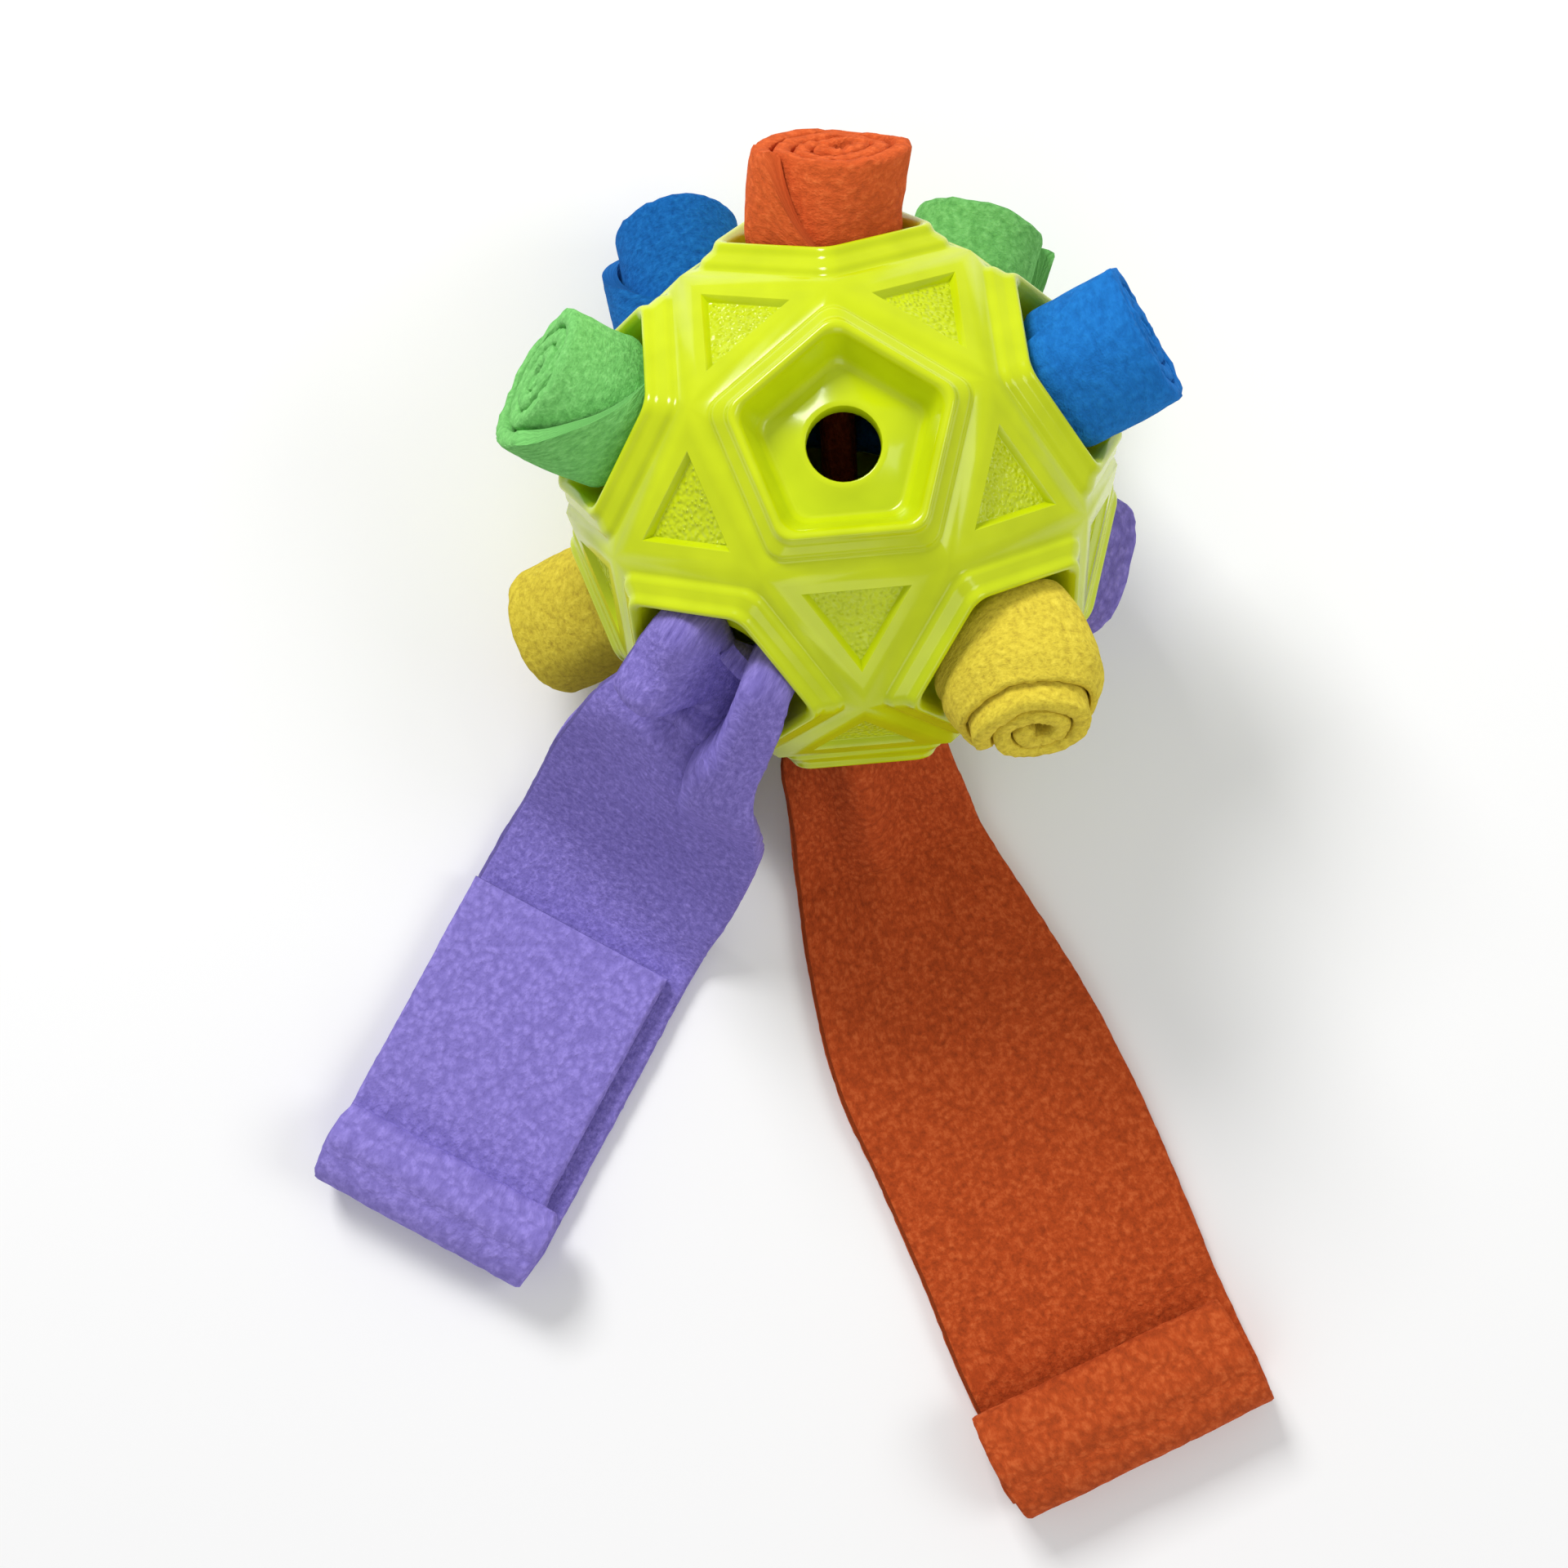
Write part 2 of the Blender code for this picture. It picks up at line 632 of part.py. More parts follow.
def purple_tail(ball):
    """The purple strip: bunched in its hole, over the rim, down to the ground and folded back."""
    finish = fleece("purple")
    axis = AXES["upper", 234]
    up = Vector((0, 0, 1))
    out = direction(purple_heading, 0)
    across = up.cross(out)
    level = across - axis * across.dot(axis)
    depth = fold_depth
    downhill = (axis * axis.z - up).normalized()
    ride = rim_height + strip_thickness / 2 + depth + 2 * seat_gap
    hinge = axis * ride + downhill * (mouth_inradius + lip_round + rim_width)
    start = axis * dome_top
    between = start.lerp(hinge, 0.5) + axis * (strip_thickness * purple_rise_share)
    side = across * -purple_offset
    rows = [[start, 2 * neck_radius, depth / 2], [between, purple_width * purple_mouth_share, depth],
            [hinge, purple_width * purple_rim_share, depth]]
    hinge_out, hinge_side = hinge.dot(out), across * hinge.dot(across)
    drop = hinge.z - lying_height
    for along, fall, width, fold in purple_slope_shares:
        place = hinge_side.lerp(side, along) + out * (hinge_out + (purple_landing - hinge_out) * along)
        rows.append([place + up * (hinge.z - drop * fall), purple_width * width, depth * fold])
    outer_turn, inner_turn = 1.5 * layer_pitch, 0.5 * layer_pitch
    flat_end = purple_reach - strip_thickness / 2 - outer_turn
    crease_line = purple_reach - purple_turnover - strip_thickness / 2
    for reach in (purple_landing, (purple_landing + crease_line) / 2, crease_line, flat_end):
        rows.append([side + out * reach + up * lying_height, purple_width, 0.0])
    path = smooth_rows(rows, path_steps)
    turned_back = crease_line + strip_thickness + inner_turn
    turns = [(outer_turn, 1, flat_end - turned_back), (inner_turn, -1, flat_end - turned_back),
             (inner_turn, -1, flat_end - crease_line)]
    turned = folded_over(path[-1][0], out, turns, purple_width)
    at_hinge, at_crease = 2 * path_steps, (len(rows) - 2) * path_steps
    rings = strip_rings([*path, *turned[1:]], across, purple_crease_share)
    loft("purple_gather", [*gathered_start(axis, level.normalized()), *parted(rings, 0, at_hinge)[1:]], finish, ball)
    top = (path[at_hinge][0] - path[at_hinge - 1][0]).normalized().cross(across)
    tail = add_empty("purple_tail_hinge", hinge + top * (strip_thickness / 2 + depth), ball)
    loft("purple_strip", parted(rings, at_hinge, at_crease), finish, tail)
    bend = side + out * crease_line + up * (lying_height + layer_pitch + strip_thickness / 2)
    end = add_empty("purple_end_hinge", bend - origin_of(tail), tail)
    loft("purple_end", parted(rings, at_crease, len(rings) - 1), finish, end)
    shift = across * ((purple_width - purple_fold_width) / -2)
    layer = side + shift + up * (lying_height + layer_pitch)
    places = [layer + out * (purple_fold_edge + (crease_line - purple_fold_edge) * k / 3) for k in range(4)]
    fold = strip_rings([[p, purple_fold_width, 0.0] for p in places], across, 0.0)
    loft("purple_fold", parted(fold, 0, 3), finish, tail)


def orange_tail(ball):
    """The orange strip: out of a low pocket, down to the ground, and rolled flat at its end."""
    finish = fleece("orange")
    axis = AXES["lower", 270]
    up = Vector((0, 0, 1))
    across = Vector((1, 0, 0))
    out = direction(270, 0)
    depth = fold_depth * orange_fold_share
    hinge = axis * (rim_height + strip_thickness)
    start = axis * dome_top
    rows = [[start, 2 * neck_radius, depth / 2], [start.lerp(hinge, 0.5), orange_width * orange_mouth_share, depth],
            [hinge, orange_width * orange_rim_share, depth]]
    ahead = direction(orange_end_heading, 0)
    far = out * orange_reach + across * orange_sway + up * lying_height
    outer_turn = 1.5 * layer_pitch
    flat_end = far - ahead * (strip_thickness / 2 + outer_turn)
    crease_line = far - ahead * (orange_turnover + strip_thickness / 2)
    drop = hinge.z - lying_height
    hinge_out = hinge.dot(out)
    for along, fall, width, fold in orange_slope_shares:
        reach = hinge_out + (orange_landing - hinge_out) * along
        place = out * reach + across * (orange_landing_sway * along) + up * (hinge.z - drop * fall)
        rows.append([place, orange_width * width, depth * fold])
    landing = out * orange_landing + across * orange_landing_sway + up * lying_height
    for along, sway, width, fold in orange_run_shares:
        place = landing + out * ((crease_line - landing).dot(out) * along)
        place += across * ((crease_line - landing).dot(across) * sway)
        rows.append([place, orange_width * width, depth * fold])
    rows += [[crease_line, orange_width, 0.0], [flat_end, orange_width * orange_end_share, 0.0]]
    path = smooth_rows(rows, path_steps)
    inside = orange_turnover - 2 * strip_thickness - 2.5 * layer_pitch
    turns = [(outer_turn, 1, inside), (layer_pitch, -1, inside), (layer_pitch / 2, 1, inside)]
    turned = folded_over(path[-1][0], ahead, turns, orange_width * orange_end_share)
    at_hinge, at_crease = 2 * path_steps, (len(rows) - 2) * path_steps
    rings = strip_rings([*path[:at_crease], *path[at_crease:]], across, orange_crease_share)
    side = up.cross(ahead)
    rings = rings[:at_crease + 1] + strip_rings([*path[at_crease + 1:], *turned[1:]], side, orange_crease_share)
    loft("orange_gather", [*gathered_start(axis, across), *parted(rings, 0, at_hinge)[1:]], finish, ball)
    top = axis.cross(across)
    tail = add_empty("orange_tail_hinge", hinge + top * (strip_thickness / 2 + depth), ball)
    loft("orange_strip", parted(rings, at_hinge, at_crease), finish, tail)
    bend = crease_line + up * (strip_thickness / 2)
    end = add_empty("orange_end_hinge", bend - origin_of(tail), tail)
    loft("orange_end", parted(rings, at_crease, len(rings) - 1), finish, end)


def settle(ball):
    """Moves the ball so that the whole toy stands on the ground, centred over the origin."""
    bpy.context.view_layer.update()
    view = bpy.context.evaluated_depsgraph_get()
    low, high = Vector((1, 1, 1)), Vector((-1, -1, -1))
    for made in bpy.data.objects:
        if made.type in {"MESH", "CURVE"} and not made.hide_render:
            shape = made.evaluated_get(view).to_mesh()
            for vert in shape.vertices:
                place = made.matrix_world @ vert.co
                low = Vector(map(min, low, place))
                high = Vector(map(max, high, place))
    ball.location = (-(low.x + high.x) / 2, -(low.y + high.y) / 2, -low.z)
    bpy.context.view_layer.update()


def build():
    clear_scene()
    ball = bpy.data.objects.new("ball_centre", None)
    bpy.context.scene.collection.objects.link(ball)
    half_shell("upper_shell", 1, ball)
    half_shell("lower_shell", -1, ball)
    rolled_end("orange_roll", "upper", 90, orange_roll_stand, "orange", ball, 15, 158, 1, 120)
    rolled_end("green_roll_left", "upper", 162, green_upper_stand, "green", ball, 12, 180, -1, 250)
    rolled_end("yellow_roll_right", "upper", 306, yellow_upper_stand, "yellow", ball, 29, 170, 1, 200)
    rolled_end("blue_roll_right", "upper", 18, blue_upper_stand, "blue", ball, 9, 292, 1, 150)
    rolled_end("blue_roll_left", "lower", 126, blue_lower_stand, "blue", ball, 28, 170, -1, 60)
    rolled_end("yellow_roll_left", "lower", 198, yellow_lower_stand, "yellow", ball, 7, 237, 1, 300)
    rolled_end("purple_roll", "lower", 342, purple_roll_stand, "purple", ball, 4, 90, 1, 100)
    rolled_end("green_roll_right", "lower", 54, green_lower_stand, "green", ball, 26, 55, -1, 20)
    middle_stretch("orange", AXES["upper", 90], AXES["lower", 270], ball)
    middle_stretch("purple", AXES["upper", 234], AXES["lower", 342], ball)
    middle_stretch("yellow", AXES["upper", 306], AXES["lower", 198], ball)
    middle_stretch("green", AXES["upper", 162], AXES["lower", 54], ball)
    middle_stretch("blue", AXES["upper", 18], AXES["lower", 126], ball)
    purple_tail(ball)
    orange_tail(ball)
    settle(ball)
    print(f"least gap between the turns of a roll: {least_turn_gap() * 1000:.2f} mm")


build()
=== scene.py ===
"""Dresses the hollow play ball: a glossy moulded rubber ball with fleece strips through its holes.

Everything is modelled round the ball's centre and then moved to where the frame holds the ball.
Lengths are in metres, and +Z points out of the empty top pocket.
"""

import logging
import math
from collections.abc import Callable, Iterator, Sequence
from contextlib import contextmanager
from dataclasses import dataclass, field
from enum import Enum

import bmesh
import bpy
from mathutils import Matrix, Vector, noise

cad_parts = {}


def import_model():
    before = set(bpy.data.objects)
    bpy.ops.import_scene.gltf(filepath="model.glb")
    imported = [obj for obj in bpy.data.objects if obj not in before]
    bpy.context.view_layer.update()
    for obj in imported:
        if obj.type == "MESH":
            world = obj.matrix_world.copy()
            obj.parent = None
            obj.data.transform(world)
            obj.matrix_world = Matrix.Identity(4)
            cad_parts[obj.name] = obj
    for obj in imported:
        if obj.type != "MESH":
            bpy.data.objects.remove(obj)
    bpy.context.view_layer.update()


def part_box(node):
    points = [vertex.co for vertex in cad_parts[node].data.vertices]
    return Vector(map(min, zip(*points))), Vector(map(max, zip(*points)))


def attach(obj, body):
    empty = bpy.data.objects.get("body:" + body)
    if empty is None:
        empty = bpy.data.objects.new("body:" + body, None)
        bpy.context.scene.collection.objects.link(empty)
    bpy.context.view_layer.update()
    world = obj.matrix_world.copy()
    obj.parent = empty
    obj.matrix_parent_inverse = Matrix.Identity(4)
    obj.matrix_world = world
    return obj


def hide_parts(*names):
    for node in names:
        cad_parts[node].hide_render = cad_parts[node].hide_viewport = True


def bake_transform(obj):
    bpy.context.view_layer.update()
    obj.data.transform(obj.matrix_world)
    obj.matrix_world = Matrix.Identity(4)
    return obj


log = logging.getLogger("play_ball")

Span = tuple[float, float]
Drape = Callable[[float, float], float]

UP = Vector((0.0, 0.0, 1.0))
GOLDEN = (1 + math.sqrt(5)) / 2
RING_TILT = math.atan(0.5)
HALF_SIDE_ANGLE = math.pi / 5
NEIGHBOUR_DOT = 1 / math.sqrt(5)
FIRST_AZIMUTH = 18
POCKET_SPACING = 72
MM_PER_METRE = 1000
CLOTH_SHARP_ANGLE = math.radians(65)
RUBBER_SHARP_ANGLE = math.radians(38)


class Hue(Enum):
    """The fleece colours of the five strips."""

    ORANGE = "orange"
    PURPLE = "purple"
    GREEN = "green"
    YELLOW = "yellow"
    BLUE = "blue"


class Ring(Enum):
    """The rings of pockets round the ball, from its top to its bottom."""

    TOP = "top"
    UPPER = "upper"
    LOWER = "lower"
    BOTTOM = "bottom"


# Finishes


def linear(hex_colour: str) -> tuple[float, float, float, float]:
    """Turns an sRGB hex colour into linear values.

    Args:
        hex_colour: Six hex digits after a hash sign.

    Returns:
        Linear red, green and blue, and an alpha of 1.
    """
    channels = [int(hex_colour[i : i + 2], 16) / 255 for i in (1, 3, 5)]
    # These five numbers are the sRGB standard's own curve
    bent = (c / 12.92 if c <= 0.04045 else ((c + 0.055) / 1.055) ** 2.4 for c in channels)
    return (*bent, 1.0)


def add_node(tree: bpy.types.NodeTree, kind: str, links: dict | None = None,
             **settings: object) -> bpy.types.Node:
    """Adds one shader node, sets it up and joins its inputs.

    Args:
        tree: The material's node tree.
        kind: The node type's short name, such as TexNoise.
        links: Input name or index to an output socket or a plain value.
        settings: The node's own properties.

    Returns:
        The new node.
    """
    node = tree.nodes.new(f"ShaderNode{kind}")
    for name, value in settings.items():
        setattr(node, name, value)
    for name, value in (links or {}).items():
        if isinstance(value, bpy.types.NodeSocket):
            tree.links.new(value, node.inputs[name])
        else:
            node.inputs[name].default_value = value
    return node


def ramp(node: bpy.types.Node, stops: Sequence[tuple[float, str]]) -> bpy.types.Node:
    """Gives a colour ramp its stops.

    Args:
        node: A ValToRGB node.
        stops: Places from 0 to 1 with their hex colours.

    Returns:
        The same node.
    """
    elements = node.color_ramp.elements
    while len(elements) < len(stops):
        elements.new(1.0)
    for element, (place, colour) in zip(elements, stops):
        element.position = place
        element.color = linear(colour)
    return node


def blank_material(name: str) -> tuple[bpy.types.Material, bpy.types.NodeTree, bpy.types.Node]:
    """Makes a material that holds only a Principled shader.

    Args:
        name: The material's name.

    Returns:
        The material, its node tree and its shader.
    """
    material = bpy.data.materials.new(name)
    material.use_nodes = True
    tree = material.node_tree
    return material, tree, tree.nodes["Principled BSDF"]


def set_sockets(shader: bpy.types.Node, values: dict[str, object]) -> None:
    """Sets the values that are the same all over a surface on the shader's own sockets."""
    for name, value in values.items():
        shader.inputs[name].default_value = value


def per_metre(millimetres: float) -> float:
    """The scale of a pattern that repeats at a size in millimetres."""
    return MM_PER_METRE / millimetres


@dataclass(frozen=True)
class MouldedRubber:
    """Injection-moulded thermoplastic rubber: a wet-looking gloss over a slightly waxy body."""

    body: str = "#cbdb0b"
    shade: str = "#c0d007"
    roughness: float = 0.2
    ior: float = 1.5
    specular: float = 0.36
    coat: float = 0.12
    coat_roughness: float = 0.06
    pebble_mm: float = 0.8
    pebble_strength: float = 1.0
    sink_mm: float = 9.0
    sink_strength: float = 0.15
    rise: float = 0.00055

    def make(self, pebbled: bool) -> bpy.types.Material:
        """Builds the material.

        Args:
            pebbled: Whether the mould's fine spark-eroded grain shows, as on the recess floors.

        Returns:
            The rubber material.
        """
        material, tree, shader = blank_material("pebbled_rubber" if pebbled else "glossy_rubber")
        place = add_node(tree, "TexCoord").outputs["Object"]
        # Sink marks give the wide faces a faint change of tone and a gloss that isn't quite even
        sink = add_node(tree, "TexNoise",
                        {"Vector": place, "Scale": per_metre(self.sink_mm), "Detail": 2.0})
        tone = ramp(add_node(tree, "ValToRGB", {"Fac": sink.outputs["Fac"]}),
                    [(0.3, self.shade), (0.7, self.body)])
        tree.links.new(tone.outputs["Color"], shader.inputs["Base Color"])
        if pebbled:
            # The mould's grain gives the floors their small round sparkles
            grain = add_node(tree, "TexVoronoi",
                             {"Vector": place, "Scale": per_metre(self.pebble_mm)},
                             feature="SMOOTH_F1")
            relief = {"Height": grain.outputs["Distance"], "Distance": -self.rise,
                      "Strength": self.pebble_strength}
        else:
            relief = {"Height": sink.outputs["Fac"], "Distance": self.rise,
                      "Strength": self.sink_strength}
        bump = add_node(tree, "Bump", relief)
        tree.links.new(bump.outputs["Normal"], shader.inputs["Normal"])
        set_sockets(shader, {"Roughness": self.roughness, "IOR": self.ior,
                             "Specular IOR Level": self.specular, "Coat Weight": self.coat,
                             "Coat Roughness": self.coat_roughness})
        return material


@dataclass(frozen=True)
class PolarFleece:
    """Brushed polyester fleece: matt and mottled on one side, pilled into lumps on the other."""

    hue: Hue
    # The lit and valley colours are painted light and painted shade, which the ramp puts on the
    # nap's high and low spots
    lit: str
    body: str
    valley: str
    pill_mm: float = 1.5
    pill_edge: Span = (0.28, 0.74)
    pill_height: Span = (0.66, 0.28)
    pill_rise: float = 0.00085
    drift_mm: float = 5.0
    drift_swing: float = 0.00135
    mottle_mm: float = 1.2
    mottle_on_pills: float = 0.45
    fibre_mm: float = 0.4
    fibre_stretch: float = 0.55
    fibre_share: float = 0.18
    bloom: float = 0.3
    roughness: float = 1.0
    specular: float = 0.1
    sheen: float = 0.25
    sheen_roughness: float = 0.5

    def make(self) -> bpy.types.Material:
        """Builds the material, which follows the cloth's own UV map and attributes.

        Returns:
            The fleece material.
        """
        material, tree, shader = blank_material(f"{self.hue.value}_fleece")
        lit = linear(self.lit)
        pebbly = add_node(tree, "Attribute", attribute_name="pebble").outputs["Fac"]
        nap = self._nap(tree, pebbly)
        # Painted shade and light: the ramp colours the nap's low spots with the valley colour and
        # its high spots with the lit colour
        tone = ramp(add_node(tree, "ValToRGB", {"Fac": nap}),
                    [(0.32, self.valley), (0.5, self.body), (0.68, self.lit)])
        # Bloom makes the pilled side a little paler than the brushed one
        bloom = add_node(tree, "MapRange", {"Value": pebbly, "To Min": 0.0, "To Max": self.bloom})
        pale = add_node(tree, "MixRGB", {"Fac": bloom.outputs["Result"],
                                         "Color1": tone.outputs["Color"], "Color2": lit})
        # Painted light: an even lift towards the lit colour makes some ends paler, standing in for
        # the lamp light that falls on them
        painted_light = add_node(tree, "Attribute", attribute_name="painted_light").outputs["Fac"]
        with_painted_light = add_node(tree, "MixRGB", {"Fac": painted_light, "Color1": pale.outputs["Color"],
                                         "Color2": lit}, blend_type="ADD")
        tree.links.new(with_painted_light.outputs["Color"], shader.inputs["Base Color"])
        strength = add_node(tree, "MapRange", {"Value": pebbly, "To Min": 0.7, "To Max": 1.0})
        bump = add_node(tree, "Bump", {"Height": nap, "Distance": self.pill_rise,
                                       "Strength": strength.outputs["Result"]})
        tree.links.new(bump.outputs["Normal"], shader.inputs["Normal"])
        set_sockets(shader, {"Roughness": self.roughness, "Specular IOR Level": self.specular,
                             "Sheen Weight": self.sheen, "Sheen Roughness": self.sheen_roughness,
                             "Sheen Tint": lit})
        return material

    def _nap(self, tree: bpy.types.NodeTree, pebbly: bpy.types.NodeSocket) -> bpy.types.NodeSocket:
        """Adds the nodes for the height of the nap.

        Args:
            tree: The material's node tree.
            pebbly: How pebbly the cloth is, from 0 to 1.

        Returns:
            The height, from 0 to 1.
        """
        cloth = add_node(tree, "UVMap", uv_map="cloth").outputs["UV"]
        # Drift pulls the pattern out of line, so that no pill looks like the one beside it
        drift = add_node(tree, "TexNoise",
                         {"Vector": cloth, "Scale": per_metre(self.drift_mm), "Detail": 1.0})
        swing = (self.drift_swing, self.drift_swing, 0)
        pulled = add_node(tree, "VectorMath", {0: drift.outputs["Color"], 1: swing, 2: cloth},
                          operation="MULTIPLY_ADD").outputs["Vector"]
        # Pills give the knitted side its round lumps; the dark valleys between them are painted
        # shade, which the colour ramp puts in the nap's low spots
        pills = add_node(tree, "TexVoronoi", {"Vector": pulled, "Scale": per_metre(self.pill_mm),
                                              "Smoothness": 0.5}, feature="SMOOTH_F1")
        lumps = add_node(tree, "MapRange", {
            "Value": pills.outputs["Distance"],
            "From Min": self.pill_edge[0], "From Max": self.pill_edge[1],
            "To Min": self.pill_height[0], "To Max": self.pill_height[1]}).outputs["Result"]
        # Mottle gives the brushed side its matted clumps of nap
        mottle = add_node(tree, "TexNoise", {"Vector": pulled, "Scale": per_metre(self.mottle_mm),
                                             "Detail": 5.0, "Roughness": 0.68}).outputs["Fac"]
        # Fibres lie along the strip and give the eye the finest hairs, drawn coarser than real ones
        combed = add_node(tree, "VectorMath", {0: cloth, 1: (1.0, self.fibre_stretch, 1.0)},
                          operation="MULTIPLY").outputs["Vector"]
        fibres = add_node(tree, "TexNoise", {"Vector": combed, "Scale": per_metre(self.fibre_mm),
                                             "Detail": 2.0}).outputs["Fac"]
        lumpy = add_node(tree, "Mix", {"Factor": self.mottle_on_pills, "A": lumps, "B": mottle},
                         data_type="FLOAT").outputs["Result"]
        sides = add_node(tree, "Mix", {"Factor": pebbly, "A": mottle, "B": lumpy},
                         data_type="FLOAT").outputs["Result"]
        return add_node(tree, "Mix", {"Factor": self.fibre_share, "A": sides, "B": fibres},
                        data_type="FLOAT").outputs["Result"]


# Lit, body and valley colours of each fleece; lit and valley are painted light and painted shade
FLEECES = {
    Hue.ORANGE: PolarFleece(Hue.ORANGE, "#d66a38", "#ae3f16", "#7a2206"),
    Hue.PURPLE: PolarFleece(Hue.PURPLE, "#9a8cda", "#7065ae", "#4a4088"),
    Hue.GREEN: PolarFleece(Hue.GREEN, "#88ce7a", "#66ae5a", "#3f8438"),
    Hue.YELLOW: PolarFleece(Hue.YELLOW, "#ead64e", "#d0bb3a", "#a0852a"),
    Hue.BLUE: PolarFleece(Hue.BLUE, "#2477c2", "#155fa8", "#083f80"),
}


@dataclass
class Wardrobe:
    """The finished materials, each made once and shared by the pieces that wear it."""

    rubber: bpy.types.Material = field(init=False)
    pebbled: bpy.types.Material = field(init=False)
    fleece: dict[Hue, bpy.types.Material] = field(init=False)

    def __post_init__(self) -> None:
        """Makes every material."""
        self.rubber = MouldedRubber().make(pebbled=False)
        self.pebbled = MouldedRubber().make(pebbled=True)
        self.fleece = {hue: finish.make() for hue, finish in FLEECES.items()}


# Directions round the ball


def pocket_axis(ring: Ring, azimuth: float = 0.0) -> Vector:
    """The direction out of a pocket.

    Args:
        ring: The ring that the pocket is in.
        azimuth: Its place round the ring in degrees, from +X towards +Y.

    Returns:
        A unit vector from the ball's centre.
    """
    if ring in (Ring.TOP, Ring.BOTTOM):
        return UP if ring is Ring.TOP else -UP
    around = math.radians(azimuth)
    tilt = RING_TILT if ring is Ring.UPPER else -RING_TILT
    level = math.cos(tilt)
    return Vector((level * math.cos(around), level * math.sin(around), math.sin(tilt)))


def heading(azimuth: float) -> Vector:
    """A level unit vector at an azimuth in degrees."""
    return Vector((math.cos(math.radians(azimuth)), math.sin(math.radians(azimuth)), 0.0))


def every_pocket() -> list[Vector]:
    """The directions of all twelve pockets."""
    upper = [pocket_axis(Ring.UPPER, FIRST_AZIMUTH + POCKET_SPACING * k) for k in range(5)]
    return [UP, *upper, *(-axis for axis in upper), -UP]


def turned_to(axis: Vector) -> Matrix:
    """The turn that takes +Z to an axis and keeps +X level."""
    across = UP.cross(axis).normalized()
    return Matrix((across, axis.cross(across), axis)).transposed()


# Modelling helpers


@contextmanager
def editing(piece: bpy.types.Object) -> Iterator[None]:
    """Opens one object in edit mode, alone and with nothing selected in it.

    Args:
        piece: The object.

    Returns:
        Nothing; the object is in edit mode while the block runs.
    """
    bpy.ops.object.select_all(action="DESELECT")
    piece.select_set(True)
    bpy.context.view_layer.objects.active = piece
    bpy.ops.object.mode_set(mode="EDIT")
    bpy.ops.mesh.select_all(action="DESELECT")
    try:
        yield
    finally:
        bpy.ops.object.mode_set(mode="OBJECT")


def pick(piece: bpy.types.Object, kind: str, test: Callable[[object], bool]) -> None:
    """Selects the faces or edges that pass a test, and nothing else.

    Args:
        piece: The object in edit mode.
        kind: FACE or EDGE.
        test: Called with each element.
    """
    bpy.ops.mesh.select_mode(type=kind)
    bpy.ops.mesh.select_all(action="DESELECT")
    mesh = bmesh.from_edit_mesh(piece.data)
    for element in [e for e in (mesh.faces if kind == "FACE" else mesh.edges) if test(e)]:
        element.select_set(True)
    mesh.select_flush_mode()
    bmesh.update_edit_mesh(piece.data)


def new_piece(name: str, points: Sequence[Vector], faces: Sequence[Sequence[int]],
              material: bpy.types.Material, uvs: Sequence[tuple[float, float]],
              looks: dict[str, Sequence[float]]) -> bpy.types.Object:
    """Makes an object from points and faces, facing outwards and shaded smooth.

    Args:
        name: The object's name.
        points: The vertices.
        faces: The faces, as vertex numbers.
        material: The finish.
        uvs: One pair for each vertex, in metres along the cloth.
        looks: Attributes that the finish reads, with a value from 0 to 1 for each vertex.

    Returns:
        The new object.
    """
    data = bpy.data.meshes.new(name)
    data.from_pydata([tuple(p) for p in points], [], [tuple(f) for f in faces])
    layer = data.uv_layers.new(name="cloth")
    for loop in data.loops:
        layer.data[loop.index].uv = uvs[loop.vertex_index]
    for look, values in looks.items():
        data.attributes.new(look, "FLOAT", "POINT").data.foreach_set("value", values)
    data.materials.append(material)
    piece = bpy.data.objects.new(name, data)
    bpy.context.scene.collection.objects.link(piece)
    mesh = bmesh.new()
    mesh.from_mesh(data)
    if mesh.calc_volume(signed=True) < 0:
        bmesh.ops.reverse_faces(mesh, faces=mesh.faces)
    mesh.to_mesh(data)
    mesh.free()
    data.shade_smooth()
    data.set_sharp_from_angle(angle=CLOTH_SHARP_ANGLE)
    return piece


def settle(piece: bpy.types.Object, place: Vector) -> None:
    """Moves a piece's mesh, so that the object itself stays at the origin."""
    piece.data.transform(Matrix.Translation(place))
    piece.data.update()


# The rubber ball


